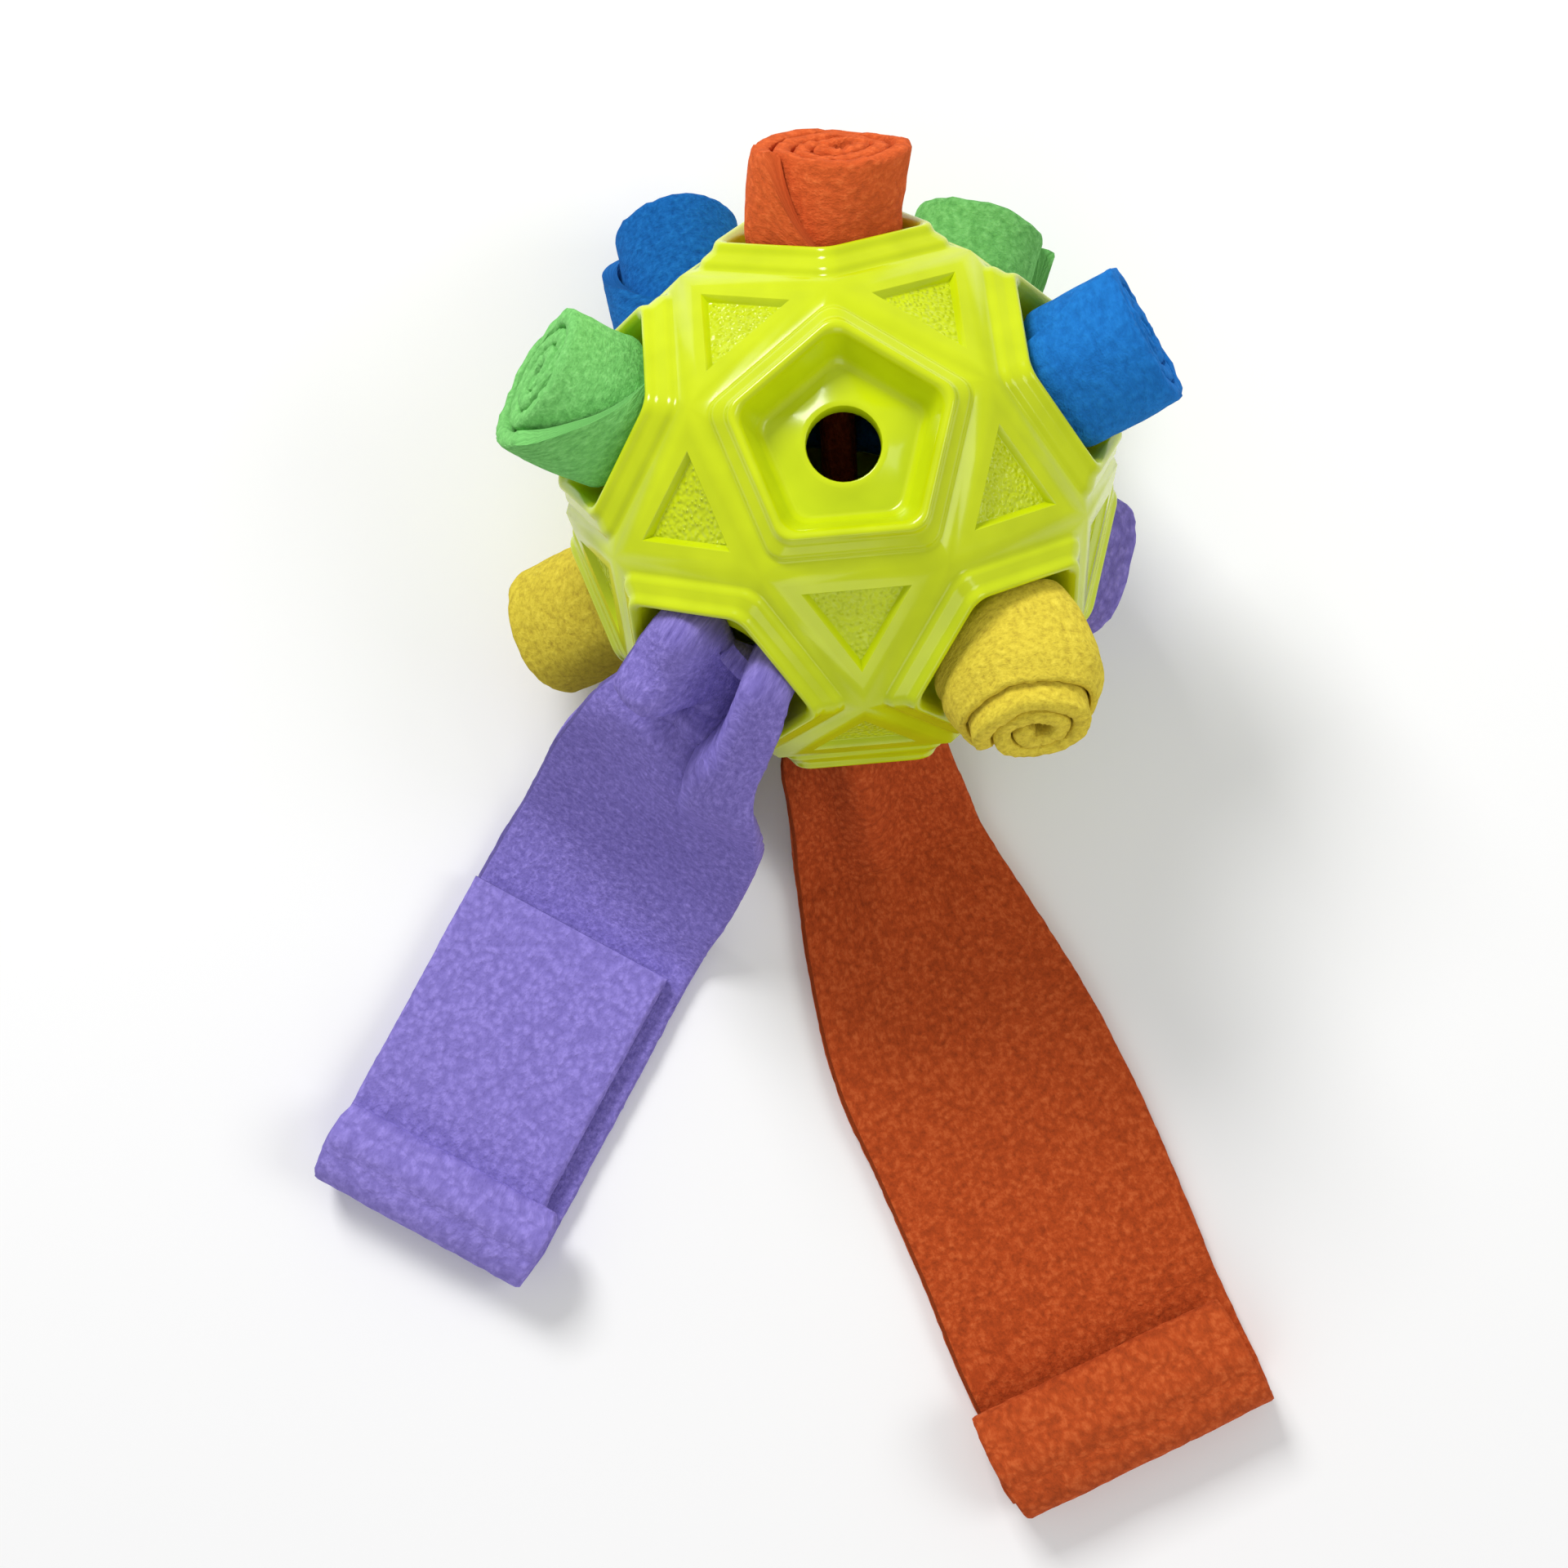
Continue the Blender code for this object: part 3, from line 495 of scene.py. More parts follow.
@dataclass
class RubberBall:
    """The hollow ball, moulded in two halves: ribs round twelve pockets and twenty recesses."""

    centre: Vector
    wardrobe: Wardrobe
    vertex_radius: float = 0.0494
    rim_height: float = 0.04685
    mouth_inradius: float = 0.0144
    lip: float = 0.0008
    rim_width: float = 0.0007
    rib_half_width: float = 0.00226
    rib_rise: float = 0.0007
    step_shares: tuple[tuple[float, float], ...] = ((0.14, 0.30), (0.74, 0.62), (0.87, 0.89))
    recess_border: float = 0.00385
    recess_depth: float = 0.0013
    corner_round: float = 0.0034
    pocket_depth: float = 0.0078
    wall_draft: float = 0.0019
    floor_round: float = 0.0012
    dome_rise: float = 0.0016
    hole_radius: float = 0.0062
    wall: float = 0.0030
    rib_wall: float = 0.0045
    parting_gap: float = 0.0002
    fillet: float = 0.00045
    corner_points: int = 7
    recess_slope: float = 0.55
    recess_shelf: float = 0.38
    dome_foot: float = 0.00256
    dome_foot_rise: float = 0.6
    dome: tuple[tuple[float, float], ...] = (
        (0.0026, 0.55), (0.0012, 0.88), (0.0005, 1.0), (0.00015, 0.92), (0.0, 0.7))
    cup_flare: float = 1.3

    def __post_init__(self) -> None:
        """Works out the sizes that follow from the ball's vertex radius."""
        self.edge = self.vertex_radius / GOLDEN
        self.pentagon_circumradius = self.edge / (2 * math.sin(HALF_SIDE_ANGLE))
        self.pentagon_inradius = self.pentagon_circumradius * math.cos(HALF_SIDE_ANGLE)
        self.pentagon_plane = math.sqrt(self.vertex_radius**2 - self.pentagon_circumradius**2)
        self.inner_scale = (self.vertex_radius - self.rib_wall) / self.vertex_radius
        self.floor_height = self.rim_height - self.pocket_depth
        self.floor_inradius = self.mouth_inradius - self.wall_draft

    def build(self) -> None:
        """Models both halves and lets them stand for the frame's halves."""
        halves = (("upper_half", 1, "upper_shell"), ("lower_half", -1, "lower_shell"))
        for name, side, node in halves:
            half = self._half(name, side)
            settle(half, self.centre)
            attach(half, "ball")
            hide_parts(node)
            log.info("%s: %d faces", name, len(half.data.polygons))

    def _half(self, name: str, side: int) -> bpy.types.Object:
        """Models one half of the ball.

        Args:
            name: The half's name.
            side: 1 for the upper half and -1 for the lower one.

        Returns:
            The closed half, centred on the ball's centre.
        """
        half = self._half_solid(name, self.vertex_radius, side)
        half.data.materials.append(self.wardrobe.pebbled)
        self._sink_recesses(half)
        self._shape_pockets(half, self._pocket_rings())
        lining = self._half_solid(f"{name}_lining", self.vertex_radius * self.inner_scale, side)
        self._shape_pockets(lining, [self._cup_foot()])
        with editing(lining):
            bpy.ops.mesh.select_all(action="SELECT")
            bpy.ops.mesh.flip_normals()
        self._join_lining(half, lining)
        settle(half, UP * (side * self.parting_gap / 2))
        bpy.ops.object.shade_smooth_by_angle(angle=RUBBER_SHARP_ANGLE)
        return half

    def _join_lining(self, half: bpy.types.Object, lining: bpy.types.Object) -> None:
        """Joins the lining to a half and closes the gaps between them, which makes the wall.

        Args:
            half: The outer skin, which keeps its name.
            lining: The inner skin, which becomes part of it.
        """
        bpy.ops.object.select_all(action="DESELECT")
        lining.select_set(True)
        half.select_set(True)
        bpy.context.view_layer.objects.active = half
        bpy.ops.object.join()
        with editing(half):
            bpy.ops.mesh.select_all(action="SELECT")
            bpy.ops.mesh.remove_doubles(threshold=self.fillet / 30)
            pick(half, "EDGE", lambda e: e.is_boundary)
            bpy.ops.mesh.bridge_edge_loops()
            bpy.ops.mesh.select_all(action="SELECT")
            bpy.ops.mesh.normals_make_consistent(inside=False)

    def _half_solid(self, name: str, radius: float, side: int) -> bpy.types.Object:
        """Half of a solid of pentagons and triangles: an icosphere with its corners cut back.

        Args:
            name: The object's name.
            radius: The distance from its centre to its corners.
            side: 1 for the upper half and -1 for the lower one.

        Returns:
            The half, open on the parting plane.
        """
        corner = radius / math.cos(math.atan(2) / 2)
        bpy.ops.mesh.primitive_ico_sphere_add(subdivisions=1, radius=corner, location=(0, 0, 0))
        solid = bpy.context.object
        solid.name = name
        solid.data.name = name
        with editing(solid):
            bpy.ops.mesh.select_mode(type="VERT")
            bpy.ops.mesh.select_all(action="SELECT")
            bpy.ops.mesh.bevel(offset_type="PERCENT", offset_pct=50, affect="VERTICES")
            bpy.ops.mesh.select_all(action="SELECT")
            bpy.ops.mesh.remove_doubles(threshold=radius / 1000)
        solid.data.transform(Matrix.Rotation(math.radians(FIRST_AZIMUTH), 4, "Z"))
        solid.data.materials.append(self.wardrobe.rubber)
        with editing(solid):
            pick(solid, "FACE", lambda f: f.calc_center_median().z * side < 0)
            bpy.ops.mesh.delete(type="FACE")
        return solid

    def _sink_recesses(self, half: bpy.types.Object) -> None:
        """Insets and sinks each triangle, and gives its floor the pebbled finish.

        Args:
            half: The half that is shaped.
        """
        with editing(half):
            pick(half, "FACE", lambda f: len(f.verts) == 3)
            chamfer = self.fillet / 3
            steps = (
                (self.recess_border * self.recess_slope, chamfer),
                (self.recess_border * self.recess_shelf, 0.0),
                (chamfer, -chamfer),
                (self.fillet, chamfer * 2 - self.recess_depth),
                (chamfer, -chamfer),
            )
            for thickness, depth in steps:
                bpy.ops.mesh.inset(thickness=thickness, depth=depth, use_individual=True)
            half.active_material_index = 1
            bpy.ops.object.material_slot_assign()

    def _pocket_rings(self) -> list[tuple[float, float, bool]]:
        """The rings of a pocket from its rib to its cup's foot.

        Returns:
            Inradius, height and whether it is round, for each ring.
        """
        rib_edge = self.pentagon_inradius - self.rib_half_width
        rib_top = self.pentagon_plane + self.rib_rise
        rim_outer = self.mouth_inradius + self.lip + self.rim_width
        floor, under = self.floor_height, self.floor_height - self.wall
        outline = [
            (self.pentagon_inradius, self.pentagon_plane),
            (rib_edge, rib_top),
            *((rib_edge + (rim_outer - rib_edge) * inward,
               rib_top + (self.rim_height - rib_top) * up) for inward, up in self.step_shares),
            (rim_outer, self.rim_height),
            (self.mouth_inradius + self.lip, self.rim_height),
            (self.mouth_inradius, self.rim_height - self.lip),
            (self.floor_inradius, floor + self.floor_round),
            (self.floor_inradius - self.floor_round, floor),
            (self.hole_radius + self.dome_foot, floor + self.dome_rise * self.dome_foot_rise),
        ]
        rings = [(s, h, False) for s, h in filleted(outline, self.fillet)[1:-1]]
        rings += [(self.hole_radius + out, floor + self.dome_rise * up, True)
                  for out, up in self.dome]
        rings += [(self.hole_radius, under, True), (self.floor_inradius + self.wall, under, False)]
        return [*rings, self._cup_foot()]

    def _cup_foot(self) -> tuple[float, float, bool]:
        """The ring where a pocket's cup meets the ball's lining."""
        widest = self.pentagon_inradius * self.inner_scale - self.fillet
        foot = min(self.floor_inradius + self.wall * self.cup_flare, widest)
        return foot, self.pentagon_plane * self.inner_scale, False

    def _shape_pockets(self, solid: bpy.types.Object,
                       rings: Sequence[tuple[float, float, bool]]) -> None:
        """Insets every pentagon once for each ring, sets each ring's size and opens the last.

        Args:
            solid: The half that is shaped.
            rings: Inradius, height and roundness of each ring, from the outside in.
        """
        axes = every_pocket()
        with editing(solid):
            pick(solid, "FACE", lambda f: len(f.verts) == 5)
            for number, ring in enumerate(rings):
                bpy.ops.mesh.inset(thickness=self.fillet / 10, use_individual=True)
                if number == 0:
                    self._split_sides(solid)
                mesh = bmesh.from_edit_mesh(solid.data)
                for face in (f for f in mesh.faces if f.select):
                    middle = face.calc_center_median()
                    axis = max(axes, key=middle.dot)
                    self._set_ring(list(face.verts), axis, *ring)
                bmesh.update_edit_mesh(solid.data)
            bpy.ops.mesh.delete(type="ONLY_FACE")

    def _split_sides(self, solid: bpy.types.Object) -> None:
        """Splits the sides of the selected pentagons, so that their corners can be rounded.

        Args:
            solid: The half in edit mode, whose new rings stay selected.
        """
        mesh = bmesh.from_edit_mesh(solid.data)
        centres = [f.calc_center_median().copy() for f in mesh.faces if f.select]
        sides = {e.index for f in mesh.faces if f.select for e in f.edges}
        pick(solid, "EDGE", lambda e: e.index in sides)
        bpy.ops.mesh.subdivide(number_cuts=self.corner_points - 1)
        count = 5 * self.corner_points
        pick(solid, "FACE", lambda f: len(f.verts) == count
             and any((f.calc_center_median() - c).length < self.fillet for c in centres))

    def _set_ring(self, verts: list, axis: Vector, inradius: float, height: float,
                  is_round: bool) -> None:
        """Moves a ring's vertices onto a rounded pentagon or a circle.

        Args:
            verts: The ring's vertices in any order.
            axis: The pocket's direction.
            inradius: The ring's inradius, or its radius where it is round.
            height: Its height along the axis.
            is_round: Whether it is a circle.
        """
        corners = self._corner_directions(axis)
        start, side = corners[0], axis.cross(corners[0])
        verts.sort(key=lambda v: math.atan2(v.co.dot(side), v.co.dot(start)) % math.tau)
        places = self._ring_places(axis, corners, inradius, height, is_round)
        first = verts[0].co.normalized()
        shift = min(range(len(places)), key=lambda i: (places[i].normalized() - first).length)
        for number, vert in enumerate(verts):
            vert.co = places[(number + shift) % len(places)]

    def _corner_directions(self, axis: Vector) -> list[Vector]:
        """The unit directions of a pocket's corners across its axis.

        Args:
            axis: The pocket's direction.

        Returns:
            Five directions, anticlockwise as seen from outside.
        """
        near = [other for other in every_pocket()
                if math.isclose(axis.dot(other), NEIGHBOUR_DOT, abs_tol=1e-3)]
        across = [(other - axis * other.dot(axis)).normalized() for other in near]
        start = across[0]
        side = axis.cross(start)
        return sorted(across, key=lambda d: math.atan2(d.dot(side), d.dot(start)) % math.tau)

    def _ring_places(self, axis: Vector, corners: list[Vector], inradius: float, height: float,
                     is_round: bool) -> list[Vector]:
        """The points of a ring, starting at its first corner and going anticlockwise.

        Args:
            axis: The pocket's direction.
            corners: The directions of its corners.
            inradius: The ring's inradius, or its radius where it is round.
            height: Its height along the axis.
            is_round: Whether it is a circle.

        Returns:
            The points, as many for each corner as corner_points.
        """
        places = []
        for corner in corners:
            side = axis.cross(corner)
            for step in range(self.corner_points):
                share = step / (self.corner_points - 1) * 2 - 1
                turn, reach, middle = HALF_SIDE_ANGLE * share, self.corner_round, Vector()
                if is_round:
                    turn *= (self.corner_points - 1) / self.corner_points
                    reach = inradius
                else:
                    middle = corner * ((inradius - self.corner_round) / math.cos(HALF_SIDE_ANGLE))
                arc = (corner * math.cos(turn) + side * math.sin(turn)) * reach
                places.append(axis * height + middle + arc)
        return places


def filleted(outline: Sequence[tuple[float, float]], radius: float,
             most: float = 0.42) -> list[tuple[float, float]]:
    """Rounds the corners of a profile.

    Args:
        outline: The profile's corners.
        radius: How far from each corner its rounding starts.
        most: The share of the shorter side that a rounding takes at most.

    Returns:
        The profile with three points in place of each inner corner.
    """
    rounded = [outline[0]]
    for before, corner, after in zip(outline, outline[1:], outline[2:]):
        a, b, c = Vector(before), Vector(corner), Vector(after)
        reach = min(radius, (a - b).length * most, (c - b).length * most)
        start = b + (a - b).normalized() * reach
        end = b + (c - b).normalized() * reach
        middle = (start + end + b * 2) / 4
        rounded += [tuple(start), tuple(middle), tuple(end)]
    return [*rounded, outline[-1]]


# Fleece strips


def eased(where: float, start: float, end: float) -> float:
    """Goes smoothly from 0 at start to 1 at end, and stays level outside them."""
    part = min(1.0, max(0.0, (where - start) / (end - start)))
    return part * part * (3 - 2 * part)


def waned(where: float, start: float, end: float) -> float:
    """Goes smoothly from 1 at start to 0 at end, and stays level outside them."""
    return 1 - eased(where, start, end)


def share_at(table: Sequence[tuple[float, float]], where: float) -> float:
    """Reads a table of places and values, with smooth steps between its rows.

    Args:
        table: The places in order, each with its value.
        where: The place to read at.

    Returns:
        The value there.
    """
    for (x0, y0), (x1, y1) in zip(table, table[1:]):
        if where <= x1:
            return y0 + (y1 - y0) * eased(where, x0, x1)
    return table[-1][1]


def smooth_rows(rows: Sequence[Sequence], steps: int) -> list[list]:
    """A Catmull-Rom curve through rows of numbers and vectors.

    Args:
        rows: The rows to pass through.
        steps: How many stretches lie between neighbours.

    Returns:
        The rows of the curve.
    """
    before = [2 * a - b for a, b in zip(rows[0], rows[1])]
    after = [2 * a - b for a, b in zip(rows[-1], rows[-2])]
    ends = [before, *rows, after]
    made = []
    for i in range(1, len(ends) - 2):
        for step in range(steps):
            t = step / steps
            made.append([(p1 * 2 + (p2 - p0) * t + (p0 * 2 - p1 * 5 + p2 * 4 - p3) * t * t
                          + (p1 * 3 - p0 - p2 * 3 + p3) * t**3) / 2
                         for p0, p1, p2, p3 in zip(*ends[i - 1 : i + 3])])
    return [*made, list(rows[-1])]


def evenly(rows: Sequence[Sequence], spacing: float) -> list[list]:
    """Spaces rows evenly along their path.

    Args:
        rows: Rows whose first entry is a place.
        spacing: The wanted distance between neighbours.

    Returns:
        The new rows, with the same ends.
    """
    runs = [0.0]
    for a, b in zip(rows, rows[1:]):
        runs.append(runs[-1] + (b[0] - a[0]).length)
    count = max(1, round(runs[-1] / spacing))
    made, index = [], 0
    for k in range(count + 1):
        want = runs[-1] * k / count
        while index < len(runs) - 2 and runs[index + 1] < want:
            index += 1
        part = (want - runs[index]) / max(1e-9, runs[index + 1] - runs[index])
        made.append([a * (1 - part) + b * part for a, b in zip(rows[index], rows[index + 1])])
    return made


def ring_walls(rings: int, count: int) -> list[tuple[int, ...]]:
    """The faces between rings of points that follow each other.

    Args:
        rings: How many rings there are.
        count: How many points each ring has.

    Returns:
        Four vertex numbers for each face.
    """
    walls = []
    for ring in range(rings - 1):
        a, b = ring * count, (ring + 1) * count
        walls += [(a + i, a + (i + 1) % count, b + (i + 1) % count, b + i) for i in range(count)]
    return walls


def closed_bundle(name: str, points: Sequence[Vector], uvs: Sequence[tuple[float, float]],
                  sides: int, material: bpy.types.Material) -> bpy.types.Object:
    """A bundle of bunched cloth, closed with a flat face at both ends.

    Args:
        name: The piece's name.
        points: The points of its rings, ring by ring.
        uvs: The cloth's pattern place at each point.
        sides: How many points go round it.
        material: The fleece.

    Returns:
        The bundle.
    """
    first, last = range(sides), range(len(points) - sides, len(points))
    faces = [tuple(first)[::-1], tuple(last), *ring_walls(len(points) // sides, sides)]
    return new_piece(name, points, faces, material, uvs, {"pebble": [0.5] * len(points)})


@dataclass
class Station:
    """One place along a strip, with the directions across and out of the cloth there."""

    place: Vector
    side: Vector
    rise: Vector
    width: float
    run: float = 0.0

    def at(self, share: float, drape: Drape | None) -> Vector:
        """The middle of the cloth at a share of its width."""
        height = drape(share, self.run) if drape else 0.0
        return self.place + self.side * (self.width * share) + self.rise * height


@dataclass
class FleeceWeave:
    """How a strip of fleece is cut and how its surface and edges vary."""

    thickness: float = 0.0030
    cell: float = 0.0011
    nap: float = 0.00018
    nap_size: float = 0.0022
    swell: float = 0.00025
    swell_size: float = 0.011
    fray: float = 0.00045
    fray_size: float = 0.0009
    fray_repeats: int = 3
    edge_points: int = 3
    edge_squareness: float = 0.6
    edge_reach: float = 0.55
    slope_step: float = 0.01
    pebbly_face: float = 0.3
    pebbly_back: float = 0.9
    # Painted light: how far the whole strip is lifted towards its lit colour
    painted_light: float = 0.0
    pattern_step: float = 0.013

    def mesh(self, name: str, stations: Sequence[Station], cut_width: float, columns: int,
             material: bpy.types.Material, drape: Drape | None = None,
             warp: Callable[[Vector, Station], Vector] | None = None,
             seed: float = 0.0) -> bpy.types.Object:
        """Lofts a closed strip of cloth through its stations.

        Args:
            name: The piece's name.
            stations: The strip's places in order.
            cut_width: The strip's width as cut, for its pattern.
            columns: How many cells lie across it.
            material: The fleece.
            drape: Height of the folds at a share of the width and a run along the strip.
            warp: Moves each finished point, given its station.
            seed: Where the noise is read from.

        Returns:
            The strip.
        """
        points, uvs, pebbles = [], [], []
        outline = self._outline(columns, cut_width)
        for number, station in enumerate(stations):
            before = stations[max(0, number - 1)]
            after = stations[min(len(stations) - 1, number + 1)]
            for share, face, lean, u in outline:
                place, side, rise = station.at(share, drape), station.side, station.rise
                if drape:
                    right, left = share + self.slope_step, share - self.slope_step
                    side = (station.at(right, drape) - station.at(left, drape)).normalized()
                    along = after.at(share, drape) - before.at(share, drape)
                    rise = along.cross(side).normalized()
                stand = self.thickness / 2 + self._rough(u, station.run, lean, seed)
                place = place + (rise * face + side * lean) * stand
                points.append(warp(place, station) if warp else place)
                uvs.append((u + seed * self.pattern_step, station.run))
                pebbles.append(self.pebbly_face if face > 0 else self.pebbly_back)
        return new_piece(name, points, self._faces(len(stations), columns), material, uvs,
                         {"pebble": pebbles, "painted_light": [self.painted_light] * len(points)})

    def _faces(self, rings: int, columns: int) -> list[tuple[int, ...]]:
        """The faces of a closed strip: its walls, and a cap at each end.

        Args:
            rings: How many stations it has.
            columns: How many cells lie across it.

        Returns:
            The faces, as vertex numbers.
        """
        under = 2 * columns + 1 + self.edge_points
        count = under + 1 + self.edge_points
        edge = range(self.edge_points + 2)
        faces = ring_walls(rings, count)
        for base, order in ((0, -1), ((rings - 1) * count, 1)):
            caps = [(i, i + 1, under - 1 - i, under - i) for i in range(columns)]
            caps += [tuple(columns + k for k in edge), tuple((under + k) % count for k in edge)]
            faces += [tuple(base + i for i in cap[::order]) for cap in caps]
        return faces

    def _outline(self, columns: int, cut_width: float) -> list[tuple[float, float, float, float]]:
        """The outline of the cloth cut across.

        Args:
            columns: How many cells lie across it.
            cut_width: The strip's width as cut.

        Returns:
            Share of the width, face, lean towards an edge, and pattern place of each point.
        """
        shares = [column / columns - 0.5 for column in range(columns + 1)]
        half_round = self.thickness * math.pi / 2
        edge = self._cut_edge()
        rows = [(share, 1.0, 0.0, cut_width * (share + 0.5)) for share in shares]
        rows += [(0.5, face, lean, cut_width + half_round * turn) for turn, face, lean in edge]
        rows += [(share, -1.0, 0.0, cut_width * (1.5 - share) + half_round)
                 for share in shares[::-1]]
        return rows + [(-0.5, -face, -lean, cut_width * 2 + half_round * (1 + turn))
                       for turn, face, lean in edge]

    def _cut_edge(self) -> list[tuple[float, float, float]]:
        """The points round a cut edge, which is squarer than a half circle.

        Returns:
            Share of the turn, face and lean of each point.
        """
        rows = []
        for step in range(1, self.edge_points + 1):
            share = step / (self.edge_points + 1)
            face, lean = math.cos(math.pi * share), math.sin(math.pi * share)
            rows.append((share, math.copysign(abs(face) ** self.edge_squareness, face),
                         lean**self.edge_squareness * self.edge_reach))
        return rows

    def _rough(self, u: float, v: float, lean: float, seed: float) -> float:
        """How far the cloth's surface stands out.

        Args:
            u: The place across its pattern.
            v: The place along it.
            lean: How far the place is out on a cut edge, where the cloth frays.
            seed: Where the noise is read from.

        Returns:
            The height over a smooth surface.
        """
        fine = noise.noise(Vector((u / self.nap_size, v / self.nap_size, seed)))
        broad = noise.noise(Vector((u / self.swell_size, v / self.swell_size, seed + 3)))
        rough = self.nap * fine + self.swell * broad
        if lean:
            across, along = u * self.fray_repeats / self.fray_size, v / self.fray_size
            rough += self.fray * abs(lean) * noise.noise(Vector((across, along, seed + 7)))
        return rough


@dataclass
class RolledEnd:
    """A strip's end, wound up and pushed into its pocket, which bends a little where it leaves it.

    Angles are in degrees, and skew is in radians. A collar is the height by which the outermost
    turn stands back from the roll's end, and its lip is laid down towards the turn inside it.
    """

    name: str
    hue: Hue
    ring: Ring
    azimuth: float
    stand: float
    lean: float
    lean_way: float
    hand: int
    seam: float
    skew: float
    pebbly: float
    seed: float
    collar: float = 0.0
    end_slope: float = 0.0
    # Painted light: how far the roll is lifted towards its lit colour, standing in for the lamp
    # light on it
    painted_light: float = 0.0
    rim_height: float = 0.04685
    seat: float = 0.04095
    plug_thickness: float = 0.0014
    widest: float = 0.0137
    core_radius: float = 0.0005
    turn_gap: float = 0.0004
    steps_per_turn: int = 56
    fewest_columns: int = 12
    bend_depth: float = 0.0010
    bend_length: float = 0.0080
    girths: tuple[float, ...] = (0.90, 0.98, 1.0, 0.97)
    corner_fill: float = 0.0016
    fill_shares: tuple[float, ...] = (0.2, 1.0, 0.35)
    squeeze: float = 0.05
    squeeze_bulge: float = 0.5
    skew_reach: float = 3.0
    skew_fade: float = 1.5
    tip_wander: float = 0.0007
    tip_waves: tuple[tuple[float, float, float], ...] = ((0.9, 1.0, 0.5), (7.0, 0.45, 2.5))
    collar_turns: Span = (1.05, 0.95)
    lip_length: float = 0.0045
    lip_squash: float = 0.55
    smallest_radius: float = 0.001
    neck_rows: tuple[tuple[float, float], ...] = (
        (0.0050, 0.0286), (0.0056, 0.0295), (0.0057, 0.0345), (0.0056, 0.0395))
    neck_head: float = 0.0058
    neck_spread: float = 0.0003
    neck_gap: float = 0.0001
    neck_sides: int = 48
    pleats: int = 9
    pleat_twist: float = 90.0
    pleat_depth: float = 0.12

    def __post_init__(self) -> None:
        """Works out the sizes that follow from the fields."""
        self.weave = FleeceWeave(nap=0.00012, swell=0.0001, pebbly_face=self.pebbly,
                                 pebbly_back=1 - self.pebbly, painted_light=self.painted_light)
        self.frame = turned_to(pocket_axis(self.ring, self.azimuth))
        self.base = self.seat + self.plug_thickness
        self.foot = self.rim_height - self.bend_depth
        self.top = self.rim_height + self.stand
        self.height = self.top - self.base
        self.pitch = self.weave.thickness + self.turn_gap
        self.outer_radius = self.widest + self.pitch / 4
        self.stations = self._wound()
        self.wound_length = self.stations[-1].run

    def build(self, centre: Vector, wardrobe: Wardrobe) -> None:
        """Models the roll and its neck, and lets them stand for the frame's roll.

        Args:
            centre: The ball's centre.
            wardrobe: The finishes.
        """
        material = wardrobe.fleece[self.hue]
        columns = max(self.fewest_columns, round(self.height / self.weave.cell))
        roll = self.weave.mesh(f"{self.name}_cloth", self.stations, self.height, columns, material,
                               warp=self._warp, seed=self.seed)
        neck = self._neck(material)
        for piece in (roll, neck):
            settle(piece, centre)
            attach(piece, f"{self.name}_body")
        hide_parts(self.name)
        log.info("%s: %.0f mm wound", self.name, self.wound_length * MM_PER_METRE)

    def _wound(self) -> list[Station]:
        """Winds the strip into a straight roll along +Z, and sets centring to suit it.

        Returns:
            Its stations, from the roll's core out.
        """
        thickness = self.weave.thickness
        rise = self.outer_radius - self.core_radius - thickness
        turns = rise / self.pitch
        steps = round(turns * self.steps_per_turn)
        collar_from, collar_to = (turns - turn for turn in self.collar_turns)
        made, run, last = [], 0.0, None
        for step in range(steps + 1):
            share = step / steps
            angle = self.hand * math.tau * turns * (share - 1) + math.radians(self.seam)
            spoke = Vector((math.cos(angle), math.sin(angle), 0))
            place = spoke * (self.core_radius + thickness / 2 + rise * share)
            # Wander puts the turns' edges a little out of line at the roll's end
            waves = ((part, noise.noise(Vector((angle * rate, self.seed, layer))))
                     for rate, part, layer in self.tip_waves)
            wander = sum(self.tip_wander * part * wave for part, wave in waves)
            wander += self.end_slope * place.x
            wander -= self.collar * eased(share * turns, collar_from, collar_to)
            run += (place - last).length if last else 0.0
            last = place
            made.append(Station(place + UP * (self.base + (self.height + wander) / 2), UP, spoke,
                                self.height + wander - thickness * 0.5, run))
        # The last spoke points at the free edge, where a spiral reaches out furthest
        self.centring = (UP.cross(spoke) * self.hand - spoke) * (self.pitch / 4)
        return made

    def _warp(self, point: Vector, station: Station) -> Vector:
        """Skews a point of the straight roll, fills the pocket with it, squeezes it and bends it.

        Args:
            point: The point, centred on the roll's foot.
            station: Its station along the strip.

        Returns:
            The point, centred on the ball's centre.
        """
        high = (point.z - self.base) / self.height
        to_end = (self.wound_length - station.run) / (self.outer_radius * self.skew_reach)
        turn = self.hand * self.skew * (high - 0.5) * max(0.0, 1 - to_end) ** self.skew_fade
        flat = Matrix.Rotation(turn, 3, "Z") @ Vector((point.x, point.y, 0))
        flat = flat * self._lip_share(point, station) + self.centring
        heights = (self.base, self.foot, self.foot + self.bend_length, self.top)
        flat = self._filled(flat * share_at(list(zip(heights, self.girths)), point.z), point.z)
        pressed = self.squeeze * eased(point.z, self.rim_height, self.top)
        flat = Vector((flat.x * (1 + pressed * self.squeeze_bulge), flat.y * (1 - pressed), 0))
        return self._bent(flat, point.z)

    def _lip_share(self, point: Vector, station: Station) -> float:
        """How far the collar's lip is laid down at a point.

        Args:
            point: The point, centred on the roll's foot.
            station: Its station along the strip.

        Returns:
            The share that the point keeps of its distance from the roll's middle.
        """
        if not self.collar:
            return 1.0
        thickness = self.weave.thickness
        edge = self.top - self.collar
        start = self.wound_length - math.tau * (self.outer_radius - thickness)
        lip = self.lip_squash * eased(point.z, edge - self.lip_length, edge)
        lip *= eased(station.run, start - thickness, start + thickness)
        radius, inner = math.hypot(point.x, point.y), station.place.xy.length - thickness / 2
        return 1 - lip * (radius - inner) / max(radius, self.smallest_radius)

